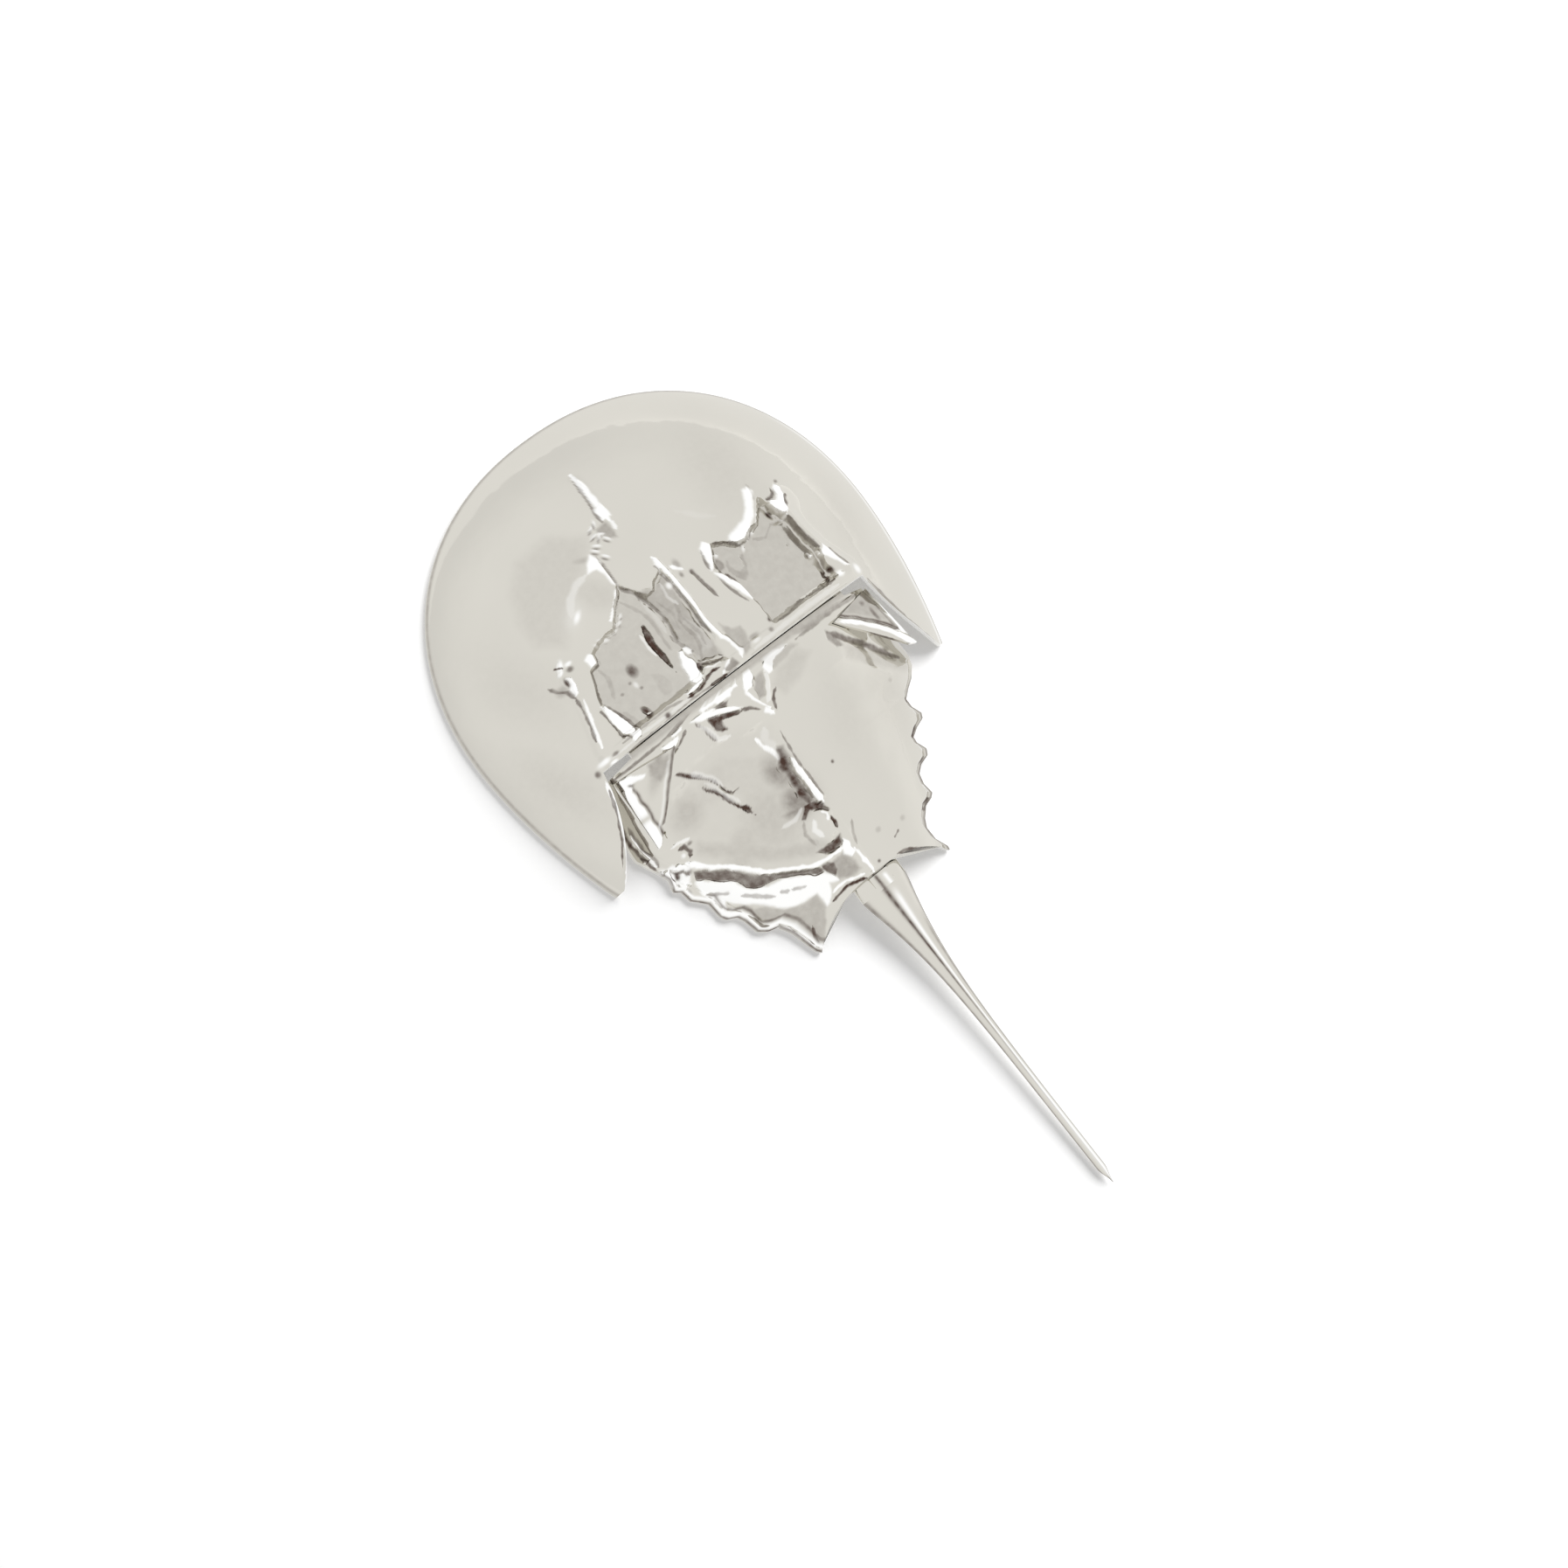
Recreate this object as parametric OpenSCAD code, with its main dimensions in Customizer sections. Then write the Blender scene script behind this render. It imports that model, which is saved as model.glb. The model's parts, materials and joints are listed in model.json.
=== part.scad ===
// Articulated metal horseshoe crab: a hollow head shield, a hinged abdomen and a tail spike
// on a two-way swivel, with its legs and gill flaps carried on two plates under the shells.
// The head points to -Y, the tail to +Y, and the rim of the head shield rests on Z = 0.
// Distances along Y are measured from the rear edge of the head shield.

/* [Head shield] */
// Widest half width of the head shield
shield_half_w = 36.9; // [34:0.1:40]
// Distance from the rear edge to the front of the rim
shield_front = 46.4; // [42:0.1:50]
// Distance from the rear edge forward to the widest section
widest_y = 10.5; // [8:0.1:13]
// Height of the crown
crown_h = 17.2; // [16:0.1:20]
// Exponent of the rounded outline, 2 being an ellipse
bow = 2.15; // [2:0.05:2.3]
// Half spacing of the two rear horns at their tips
horn_x = 32.3; // [31:0.1:34]
// Reach of the rear horns behind the rear edge
horn_y = 15.5; // [13:0.1:17]
// Width of a horn at its tip
horn_tip_w = 1; // [0.8:0.1:1.4]
// Half length of the rear edge between the horns
hinge_half_w = 25.2; // [24:0.1:26.5]
// Thickness of the sheet metal
wall = 1.3; // [1:0.05:1.6]
// Height of the outer edge of the rim
rim_t = 0.9; // [0.6:0.05:1.2]
// Width of the flat under the rim
rim_flat = 2.4; // [1.5:0.1:3]

/* [Head relief] */
// Depth of the two sunken fields
hollow_depth = 1.9; // [0.5:0.1:2.2]
// Distance ahead of the rear edge where the sunken fields start
hollow_front = 15.6; // [13:0.1:18]
// Half width of the middle lobe between the sunken fields
lobe_half_w = 4.9; // [4:0.1:6]
// Height of the ridge along the middle
keel_h = 0.6; // [0.2:0.1:1]
// Half spacing of the eyes
eye_x = 20.6; // [19:0.1:22]
// Distance of the eyes ahead of the rear edge
eye_y = 15.6; // [13:0.1:18]
// Height of an eye above the dome
eye_h = 1.1; // [0.5:0.1:1.5]
// Height of the ridge from each eye to the rear edge
eye_ridge_h = 0.8; // [0.3:0.1:1.2]
// Height of the bar along the rear edge
bar_h = 0.5; // [0.2:0.1:0.8]

/* [Abdomen] */
// Half width of the abdomen at its widest
abdomen_half_w = 26.8; // [25.5:0.1:27.5]
// Half spacing of the two rear spines
spine_x = 12.9; // [11:0.1:15]
// Reach of the rear spines behind the head shield
spine_y = 40.2; // [38.5:0.1:42]
// Rear edge of the abdomen at its middle
notch_y = 35.6; // [35.2:0.1:35.8]
// Height of the abdomen's crest at the hinge
crest_front_h = 15.5; // [15:0.1:15.6]
// Height of the crest at the rear edge
crest_rear_h = 7.3; // [7.1:0.1:8]
// Thickness of the abdomen's sheet metal
abdomen_wall = 1.2; // [0.9:0.05:1.3]
// Number of marginal teeth on each side
tooth_count = 4; // [3:1:5]
// Depth of a marginal tooth
tooth_depth = 1.1; // [0.4:0.1:1.5]
// Depth of the dent in the left half
dent_depth = 1.6; // [0:0.1:2]
// Reach of the side lobes behind the head shield
side_lobe_y = 13.6; // [10:0.1:15]
// Distance of the side lobes' tips in from the abdomen's widest point
side_lobe_inset = 1.7; // [1:0.1:2.5]
// Width of a side lobe at its root
side_lobe_w = 9.4; // [8:0.1:10]
// Height of the side lobes' tips
side_lobe_h = 8.6; // [6:0.1:10]

/* [Body hinge] */
// Distance of the hinge axis behind the rear edge
axis_y = 0.8; // [0.6:0.1:1]
// Height of the hinge axis
axis_z = 8.6; // [8.4:0.1:8.8]
// Diameter of the axle
axle_d = 2; // [1.6:0.1:2.2]
// Radius of the eyes round the axle
knuckle_r = 1.9; // [1.7:0.1:2]
// Thickness of each hinge arm
arm_t = 1.8; // [1.4:0.1:2]
// Inner face of the abdomen's arm
arm_x = 13.2; // [12:0.1:14]
// Angle that the abdomen's tongue reaches ahead under the head shield
tongue_angle = 32; // [30:1:34]

/* [Leg plate] */
// Height of the underside of the leg plate
leg_plate_z = 7.2; // [7:0.1:7.4]
// Thickness of both carrier plates
plate_t = 0.8; // [0.6:0.05:0.9]
// Distance of the leg plate's rear edge ahead of the head shield's
leg_plate_back = 6; // [5.5:0.1:7]
// Spacing of the leg roots
leg_pitch = 3.6; // [3.5:0.05:3.7]
// Distance of the last leg root ahead of the rear edge
last_leg_y = 9.6; // [9.3:0.1:10]
// Radius of a leg at its root
leg_r = 1.5; // [1.3:0.05:1.55]
// Reach of the longest leg
leg_reach = 23; // [20:0.5:24]

/* [Gill plate] */
// Height of the underside of the gill plate
gill_plate_z = 4.6; // [4.5:0.05:4.7]
// Distance of the gill plate's front edge behind the rear edge
gill_plate_front = 3.2; // [3:0.1:3.6]
// Distance of the gill plate's rear edge behind the rear edge
gill_plate_back = 28.5; // [28:0.1:28.5]
// Number of gill flaps behind the cover flap
gill_count = 5; // [3:1:5]
// Length of a gill flap
gill_len = 5.2; // [4.6:0.1:5.6]
// Half width of the gill stack at its front end
gill_front_w = 13.6; // [12:0.1:14]
// Half width of the gill stack at its rear end
gill_rear_w = 7.9; // [6:0.1:9]
// Thickness of a gill flap
gill_t = 0.6; // [0.4:0.05:0.8]

/* [Tail] */
// Tip of the tail behind the head shield's rear edge
tail_end = 93.7; // [80:0.1:110]
// Half width of the tail at its root
tail_root_half_w = 4.2; // [4:0.05:4.3]
// Half width of the tail along its thin end
tail_thin_half_w = 0.72; // [0.6:0.02:0.9]
// Sideways drift of the tail at its tip
tail_drift = 0.8; // [0:0.1:2]
// Distance of the upright swivel pin behind the rear edge
swivel_y = 31.6; // [31.5:0.1:31.7]
// Distance of the tail's cross pin behind the rear edge
tail_pin_y = 35.6; // [35.5:0.1:35.7]
// Height of the tail's cross pin
tail_pin_z = 3.7; // [3.6:0.05:3.8]
// Diameter of both tail pins
tail_pin_d = 1.2; // [1:0.05:1.3]
// Half width of the swivel block
block_half_w = 1.5; // [1.3:0.05:1.6]
// Radius of the knuckles round the tail's cross pin
tail_knuckle_r = 1.25; // [1.15:0.05:1.3]

/* [Fit] */
// Clearance of a pin in the piece that turns on it
turn_gap = 0.05; // [0.03:0.01:0.08]
// Clearance of a pin in the piece that holds it
hold_gap = 0.02; // [0.01:0.01:0.03]
// Clearance between faces that slide past each other
slide_gap = 0.4; // [0.35:0.05:0.45]
// Clearance under a seat
seat_gap = 0.1; // [0.05:0.01:0.15]
// Radius of the plate screws' shanks
screw_r = 0.5; // [0.4:0.05:0.6]

/* [Hidden] */
$fn = 48;

silver = [0.83, 0.82, 0.79];
dark_silver = [0.62, 0.61, 0.59];
steel = [0.72, 0.73, 0.75];

mid_y = (tail_end - shield_front) / 2;
front_len = shield_front - widest_y;
leg_plate_top = leg_plate_z + plate_t;
gill_plate_top = gill_plate_z + plate_t;

function clamp01(v) = min(1, max(0, v));
function lerp(a, b, t) = a + (b - a) * t;
function smooth(a, b, v) = let (t = clamp01((v - a) / (b - a))) t * t * (3 - 2 * t);
function ridge(d, half) = exp(-pow(d / half, 2));

// ---- Surface of the head shield ----

// Half width of the rim behind the widest section
function side_w(y) =
    shield_half_w - (shield_half_w - horn_x) * pow(clamp01((y + widest_y) / (horn_y + widest_y)), 1.8);

// How far out a point lies, 0 at the crown line and 1 at the rim
function spread(x, y) =
    pow(abs(x) / side_w(y), bow) + pow(max(0, -(y + widest_y)) / front_len, bow);

function dome(x, y) = rim_t + (crown_h - rim_t) * pow(clamp01(1 - spread(x, y)), 0.9);

// The ridge that runs back from the eye and slowly outward
function eye_ridge_x(y) = eye_x + 0.2 * (y + eye_y);

// Front edge of the sunken field, curling forward at both ends
function hollow_edge(x) = -hollow_front - 0.09 * pow(abs(x) - 13, 2);

function hollow(x, y) =
    hollow_depth
    * smooth(hollow_edge(x), hollow_edge(x) + 2.4, y) * (1 - smooth(-4.6, -2.2, y))
    * smooth(lobe_half_w, lobe_half_w + 1.8, abs(x))
    * (1 - smooth(eye_ridge_x(y) - 3.2, eye_ridge_x(y) - 0.8, abs(x)));

function keel(x, y) =
    keel_h * ridge(x, 0.9) * smooth(-0.84 * shield_front, -0.733 * shield_front, y)
    * (1 - smooth(-4, -1, y));

function eye(x, y) = eye_h * ridge(norm([abs(x) - eye_x, 0.7 * (y + eye_y)]), 1.8);

function eye_ridge(x, y) =
    eye_ridge_h * ridge(abs(x) - eye_ridge_x(y), 1)
    * smooth(-eye_y - 1, -eye_y + 1, y) * (1 - smooth(-1.5, 1, y));

function bar(x, y) =
    bar_h * smooth(-2.6, -1.4, y) * (1 - smooth(hinge_half_w - 1.5, hinge_half_w, abs(x)));

function shield_top(x, y) =
    dome(x, y) - hollow(x, y) + keel(x, y) + eye(x, y) + eye_ridge(x, y) + bar(x, y);

// ---- Surface of the abdomen ----

// Where the flank reaches the rim: high at the hinge, low behind the side lobes
function margin_h(y) = 1 + 6.8 * (1 - smooth(1, 12, y));

function crest_h(y) =
    y < 8 ? lerp(crest_front_h, crest_front_h - 0.3, y / 8)
          : crest_front_h - 0.3
            - (crest_front_h - 0.3 - crest_rear_h) * pow((y - 8) / (notch_y - 8), 0.93);

front_half_w = hinge_half_w - 0.5;
shoulder_y = 13;
teeth_y = 18;

// Half width of the abdomen without its teeth
function flank_w(y) =
    y < shoulder_y ? lerp(front_half_w, abdomen_half_w, smooth(1, shoulder_y, y))
    : y < teeth_y ? lerp(abdomen_half_w, abdomen_half_w - 2.3, smooth(shoulder_y + 1, teeth_y, y))
    : lerp(abdomen_half_w - 2.3, spine_x, pow((y - teeth_y) / (spine_y - teeth_y), 0.92));

// Each tooth grows slowly toward the tail and ends in a notch
function tooth(y) =
    let (pitch = (spine_y - 3.5 - teeth_y) / tooth_count, t = (y - teeth_y) / pitch, f = t - floor(t))
    y < teeth_y || t >= tooth_count ? 0 : tooth_depth * (pow(f, 1.6) * (1 - smooth(0.8, 1, f)));

function dent(x, y) =
    dent_depth * smooth(2.2, 5, x) * smooth(5, 8.5, y) * (1 - smooth(20.5, 23.5, y + 0.32 * x))
    * (1 - smooth(15, 19, x + 0.05 * y));

function crest_ridge(x, y) =
    ridge(x, 1) * smooth(5, 8, y) * (0.5 + 0.35 * ridge(y - 8.5, 2) + 0.35 * ridge(y - 22, 3)
    + 0.35 * ridge(y - 34, 3));

function abdomen_top(x, y) =
    let (m = margin_h(y))
    m + (crest_h(y) - m) * pow(clamp01(1 - pow(x / flank_w(y), 2)), 0.9)
    - dent(x, y) + crest_ridge(x, y);

// ---- Solids from surfaces ----

// A closed skin between an upper and a lower grid of points of the same size
module sheet(upper, lower) {
    rows = len(upper);
    cols = len(upper[0]);
    size = rows * cols;
    points = concat([for (r = upper) each r], [for (r = lower) each r]);
    function at(i, j) = i * cols + j;
    quads = concat(
        [for (i = [0:rows - 2], j = [0:cols - 2])
            [at(i, j), at(i, j + 1), at(i + 1, j + 1), at(i + 1, j)]],
        [for (i = [0:rows - 2], j = [0:cols - 2])
            [size + at(i + 1, j), size + at(i + 1, j + 1), size + at(i, j + 1), size + at(i, j)]],
        [for (i = [0:rows - 2]) [at(i + 1, 0), size + at(i + 1, 0), size + at(i, 0), at(i, 0)]],
        [for (i = [0:rows - 2])
            [at(i, cols - 1), size + at(i, cols - 1), size + at(i + 1, cols - 1), at(i + 1, cols - 1)]],
        [for (j = [0:cols - 2]) [at(0, j), size + at(0, j), size + at(0, j + 1), at(0, j + 1)]],
        [for (j = [0:cols - 2])
            [at(rows - 1, j + 1), size + at(rows - 1, j + 1), size + at(rows - 1, j), at(rows - 1, j)]]);
    polyhedron(points, [for (q = quads) each [[q[0], q[1], q[2]], [q[0], q[2], q[3]]]], convexity = 8);
}

// A closed tube through rings of points
module skin(rings) {
    n = len(rings[0]);
    last = len(rings) - 1;
    sides = [for (i = [0:last - 1], j = [0:n - 1])
        let (a = i * n + j, b = i * n + (j + 1) % n) each [[a, b, b + n], [a, b + n, a + n]]];
    polyhedron([for (r = rings) each r],
        concat(sides, [[for (j = [n - 1:-1:0]) j]], [[for (j = [0:n - 1]) last * n + j]]), convexity = 6);
}

module placed() {
    translate([0, -mid_y, 0]) children();
}

module mirrored(side) {
    mirror([side < 0 ? 1 : 0, 0, 0]) children();
}

// ---- Head shield ----

// Inner and outer end of each line across the left half, from the front middle to the horn's tip
function front_line(a) = [
    [lerp(0, hinge_half_w - 6.2, a / 90), 0],
    [shield_half_w * pow(sin(a), 2 / bow), -widest_y - front_len * pow(cos(a), 2 / bow)]];
function flank_line(t) = let (y = -widest_y * (1 - t)) [
    [lerp(hinge_half_w - 6.2, hinge_half_w, t), 0], [side_w(y), y]];
function horn_line(t) = let (y = horn_y * t) [
    [lerp(hinge_half_w, horn_x - horn_tip_w, 0.3 * t + 0.7 * t * t), y - 0.3 * smooth(0.9, 1, t)],
    [side_w(y), y - 0.2 * smooth(0.9, 1, t)]];

half_lines = concat(
    [for (k = [0:17]) front_line(k * 90 / 17)],
    [for (k = [1:4]) flank_line(k / 4)],
    [for (k = [1:9]) horn_line(k / 9)]);
shield_lines = concat([for (k = [len(half_lines) - 1:-1:1]) half_lines[k]],
    [for (line = half_lines) [for (p = line) [-p[0], p[1]]]]);

shield_cols = 23;
function shield_step(j, last) = 1 - pow(1 - pow(j / last, 1.2), 1.15);

function shield_row(line) = [for (j = [0:shield_cols])
    let (p = lerp(line[0], line[1], shield_step(j, shield_cols))) [p[0], p[1], shield_top(p[0], p[1])]];

function shield_under_row(line) =
    let (reach = norm(line[1] - line[0]), turn = 1 - min(rim_flat, 0.45 * reach) / reach)
    [for (j = [0:shield_cols])
        let (t = j == shield_cols ? 1 : turn * min(1, shield_step(j, shield_cols - 2)),
             p = lerp(line[0], line[1], t))
        [p[0], p[1], j >= shield_cols - 1 ? 0 : max(0.25, shield_top(p[0], p[1]) - wall)]];

module head_shield() {
    color(silver) placed()
        sheet([for (l = shield_lines) shield_row(l)], [for (l = shield_lines) shield_under_row(l)]);
}

// ---- Leg plate, its posts and its screws ----

// Outline of a section of the dome's inside at the height z
function dome_section(z, y) =
    let (rho = 1 - pow((z - rim_t) / (crown_h - rim_t), 1 / 0.9),
         f = max(0, -(y + widest_y)) / front_len)
    side_w(y) * pow(max(0, rho - pow(f, bow)), 1 / bow);

module leg_plate_outline() {
    z = leg_plate_top + wall + seat_gap;
    rho = 1 - pow((z - rim_t) / (crown_h - rim_t), 1 / 0.9);
    front = -widest_y - front_len * pow(rho, 1 / bow);
    ys = [for (k = [0:16]) lerp(-leg_plate_back, front, sin(k * 90 / 16))];
    polygon(concat([for (y = ys) [dome_section(z, y), y]],
        [for (k = [15:-1:0]) [-dome_section(z, ys[k]), ys[k]]]));
}

leg_posts = [[9, -26], [20.3, -11.5]];
post_r = 1.4;
post_cap = 0.5;
screw_head_r = 1;
screw_head_t = 0.5;

// Lowest inside height over a round post
function under_shield(x, y, r) =
    min([for (a = [0:45:315]) shield_top(x + r * cos(a), y + r * sin(a))]) - wall - seat_gap;

module leg_plate() {
    color(dark_silver) placed() difference() {
        translate([0, 0, leg_plate_z]) linear_extrude(plate_t) leg_plate_outline();
        for (p = leg_posts, s = [-1, 1])
            translate([s * p[0], p[1], leg_plate_z - 1]) cylinder(r = screw_r + hold_gap, h = plate_t + 2);
    }
}

module post(p, bottom, top) {
    translate([p[0], p[1], bottom]) difference() {
        cylinder(r = post_r, h = top - bottom);
        translate([0, 0, -1]) cylinder(r = screw_r + hold_gap, h = top - bottom - post_cap + 1);
    }
}

// A slotted screw whose shank ends short of the closed end of its post
module screw(p, bottom, post_top) {
    translate([p[0], p[1], bottom]) {
        translate([0, 0, -screw_head_t]) difference() {
            cylinder(r = screw_head_r, h = screw_head_t);
            translate([-screw_head_r - 1, -0.15, -1]) cube([2 * screw_head_r + 2, 0.3, 1.25]);
        }
        cylinder(r = screw_r, h = min(plate_t + 1.6, post_top - bottom - post_cap - 0.2));
    }
}

module plate_posts() {
    color(dark_silver) placed() for (p = leg_posts, s = [-1, 1])
        post([s * p[0], p[1]], leg_plate_top, under_shield(p[0], p[1], post_r));
}

module plate_screws() {
    color(steel) placed() for (p = leg_posts, s = [-1, 1]) 
        screw([s * p[0], p[1]], leg_plate_z, under_shield(p[0], p[1], post_r));
}

// ---- Body hinge ----

head_arm_x = arm_x + arm_t + slide_gap;
head_arm_len = 11;
head_arm_h = 2.2;
axle_half = head_arm_x + arm_t;
rivet_r = 1.5;
rivet_t = 0.7;

// Upright ring round the hinge axis, with its inner face at x
module knuckle(x, r) {
    translate([x, axis_y, axis_z]) rotate([0, 90, 0]) cylinder(r = r, h = arm_t);
}

module axle_bore(x, gap) {
    translate([x - 1, axis_y, axis_z]) rotate([0, 90, 0]) cylinder(d = axle_d + 2 * gap, h = arm_t + 2);
}

module head_arm(side) {
    color(dark_silver) placed() mirrored(side) difference() {
        union() {
            knuckle(head_arm_x, knuckle_r);
            translate([head_arm_x, axis_y - head_arm_len - 2, leg_plate_top])
                cube([arm_t, head_arm_len + 2, head_arm_h]);
        }
        axle_bore(head_arm_x, hold_gap);
    }
}

module hinge_axle() {
    color(steel) placed() translate([0, axis_y, axis_z]) rotate([0, 90, 0]) {
        cylinder(d = axle_d, h = 2 * axle_half, center = true);
        for (s = [-1, 1]) translate([0, 0, s * (axle_half + rivet_t / 2)])
            cylinder(r = rivet_r, h = rivet_t, center = true);
    }
}

abdomen_foot_h = 1.6;
abdomen_foot_end = 12;

module abdomen_arm(side) {
    neck_y = gill_plate_front + 0.2;
    color(dark_silver) placed() mirrored(side) difference() {
        union() {
            knuckle(arm_x, knuckle_r);
            translate([arm_x, axis_y, axis_z - 0.9]) cube([arm_t, neck_y + 2.2 - axis_y, 1.8]);
            translate([arm_x, neck_y, gill_plate_top]) cube([arm_t, 2.2, axis_z + 0.9 - gill_plate_top]);
            translate([arm_x, neck_y, gill_plate_top])
                cube([arm_t, abdomen_foot_end - neck_y, abdomen_foot_h]);
        }
        axle_bore(arm_x, turn_gap);
    }
}

// ---- Legs ----

leg_angles = [52, 34, 17, 2, -9];
leg_shares = [0.78, 0.86, 0.93, 1, 1];
root_x = 2.4;

// Share of the reach, height above the resting surface and share of the root's radius
leg_form = [[0, 5.6, 1], [0.1, 5.5, 1.02], [0.2, 5.25, 0.9], [0.32, 5, 0.84], [0.36, 5, 0.94],
    [0.5, 4.8, 0.84], [0.62, 4.4, 0.64], [0.66, 4.2, 0.74], [0.78, 3.3, 0.62], [0.87, 2.4, 0.42],
    [0.94, 1.7, 0.5], [1, 1.1, 0.2]];
leg_sides = 8;

// A round limb in an upright plane, through points of distance and height
module limb(path, radii) {
    last = len(path) - 1;
    skin([for (i = [0:last])
        let (d = path[min(i + 1, last)] - path[max(i - 1, 0)], t = d / norm(d))
        [for (k = [0:leg_sides - 1]) let (a = -k * 360 / leg_sides - 22.5)
            [path[i][0] - t[1] * radii[i] * sin(a), radii[i] * cos(a),
             path[i][1] + t[0] * radii[i] * sin(a)]]]);
}

module leg(side, i) {
    reach = leg_reach * leg_shares[i - 1];
    path = [for (f = leg_form) [f[0] * reach, f[1]]];
    color(dark_silver) placed() mirrored(side)
        translate([root_x, -last_leg_y - (5 - i) * leg_pitch, 0]) rotate([0, 0, -leg_angles[i - 1]]) {
            limb(path, [for (f = leg_form) f[2] * leg_r]);
            finger_start = path[9][0];
            translate([finger_start, 0.1, 0]) rotate([0, 0, 14]) translate([-finger_start, 0, 0])
                limb([for (k = [9:11]) path[k]], [0.36, 0.42, 0.2] * leg_r);
        }
}

chelicera_y = last_leg_y + 4 * leg_pitch + 2.4 * leg_r;

module chelicera(side) {
    color(dark_silver) placed() mirrored(side) translate([1.5, -chelicera_y, 0]) rotate([0, 0, -78])
        limb([[-1.4, 6.05], [0.6, 6.05], [2, 5.8], [3.4, 5.3], [4.8, 4.5], [5.6, 3.9]],
            [1, 1.05, 0.8, 0.85, 0.6, 0.25]);
}

module chilaria() {
    color(dark_silver) placed() for (s = [-1, 1])
        translate([s * 1.3, -leg_plate_back - 1.2, leg_plate_z - seat_gap - 2.6]) {
            cylinder(r = 0.9, h = 2.6);
            sphere(r = 0.9);
        }
}

// ---- Abdomen shield ----

abdomen_cols = 15;
function across(j) = let (v = j / abdomen_cols) v - 0.06 * sin(360 * v);
function signed_across(j) = sign(j) * across(abs(j));
cols = [for (j = [-abdomen_cols:abdomen_cols]) -signed_across(j)];

tongue_half_w = hinge_half_w - 4.7;
function tongue_r(x) = dome(x, 0) - wall - slide_gap - axis_z;
function tongue_row(angle, inset) = [for (s = cols)
    let (x = s * tongue_half_w, r = tongue_r(x) - inset)
    [x, axis_y - r * sin(angle), axis_z + r * cos(angle)]];
tongue_angles = [for (k = [0:4]) tongue_angle * (1 - k / 4)];

// Places of the rows: along the middle and along the side
first_row_y = axis_y + 0.6;
side_rows = concat([for (k = [0:5]) lerp(first_row_y, shoulder_y, k / 5)], [14.6, 15.8, 17],
    [for (k = [0:5 * tooth_count]) lerp(teeth_y, spine_y - 3.4, k / (5 * tooth_count))],
    [spine_y - 2.2, spine_y - 1, spine_y]);
function middle_y(side_y) = lerp(first_row_y, notch_y, (side_y - first_row_y) / (spine_y - first_row_y));

function abdomen_row(y) = [for (s = cols)
    let (x = s * (flank_w(y) + tooth(y)), q = lerp(middle_y(y), y, pow(abs(s), 4)))
    [x, q, abdomen_top(x, q)]];

function abdomen_under_row(y) = [for (p = abdomen_row(y))
    [p[0], p[1], max(margin_h(p[1]) - 0.85, p[2] - abdomen_wall)]];

module abdomen_shield() {
    color(silver) placed()
        sheet(concat([for (a = tongue_angles) tongue_row(a, 0)], [for (y = side_rows) abdomen_row(y)]),
            concat([for (a = tongue_angles) tongue_row(a, 1)],
                   [for (y = side_rows) abdomen_under_row(y)]));
}

// A flap on each side that points back from the hinge end, thin and nearly level
side_lobe_t = 0.9;
side_lobe_root_t = 0.5;
side_lobe_x = abdomen_half_w - side_lobe_inset;
side_lobe_root_x = front_half_w - 0.2;
side_lobe_root =
    [[side_lobe_root_x - side_lobe_w, 0.25 * side_lobe_y], [side_lobe_root_x, 0.16 * side_lobe_y]];
side_lobe_end = [[side_lobe_x - 0.9, side_lobe_y - 0.4], [side_lobe_x, side_lobe_y]];

function lobe_place(u, v) =
    lerp(lerp(side_lobe_root[0], side_lobe_root[1], u), lerp(side_lobe_end[0], side_lobe_end[1], u), v);
function lobe_seat(side, p) = abdomen_top(side * p[0], p[1]) + seat_gap + 0.05;
function lobe_top(side, u, v) =
    let (seat = lobe_seat(side, lobe_place(u, v)), root = lobe_seat(side, lobe_place(u, 0)))
    max(seat + side_lobe_root_t,
        lerp(root + side_lobe_root_t, side_lobe_h, pow(v, 0.8)) + 0.6 * sin(180 * v) * (1 - u));
function lobe_grid(side, upper) = [for (i = [0:7]) [for (j = [0:5])
    let (u = side > 0 ? 1 - j / 5 : j / 5, v = i / 7, p = lobe_place(u, v), top = lobe_top(side, u, v))
    [side * p[0], p[1], upper ? top : max(lobe_seat(side, p), top - side_lobe_t)]]];

module side_lobe(side) {
    color(silver) placed() sheet(lobe_grid(side, true), lobe_grid(side, false));
}

// ---- Gill plate, its posts, screws and flaps ----

gill_posts = [[17.2, 9], [11.2, 21]];

// Half width of the abdomen's inside at the height z
function abdomen_section(z, y) =
    let (m = margin_h(y)) flank_w(y) * sqrt(max(0, 1 - pow((z - m) / (crest_h(y) - m), 1 / 0.9)));

function under_abdomen(x, y, r) =
    min([for (a = [0:30:330]) abdomen_top(x + r * cos(a), y + r * sin(a))]) - abdomen_wall - 2 * seat_gap;

module gill_plate() {
    z = gill_plate_top + abdomen_wall + seat_gap;
    ys = [for (k = [0:14]) lerp(gill_plate_front, gill_plate_back, k / 14)];
    color(dark_silver) placed() difference() {
        translate([0, 0, gill_plate_z]) linear_extrude(plate_t)
            polygon(concat([for (y = ys) [abdomen_section(z, y), y]],
                [for (k = [14:-1:0]) [-abdomen_section(z, ys[k]), ys[k]]]));
        for (p = gill_posts, s = [-1, 1])
            translate([s * p[0], p[1], gill_plate_z - 1]) cylinder(r = screw_r + hold_gap, h = plate_t + 2);
    }
}

module gill_post_set() {
    color(dark_silver) placed() for (p = gill_posts, s = [-1, 1])
        post([s * p[0], p[1]], gill_plate_top, under_abdomen(s * p[0], p[1], post_r));
}

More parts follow.
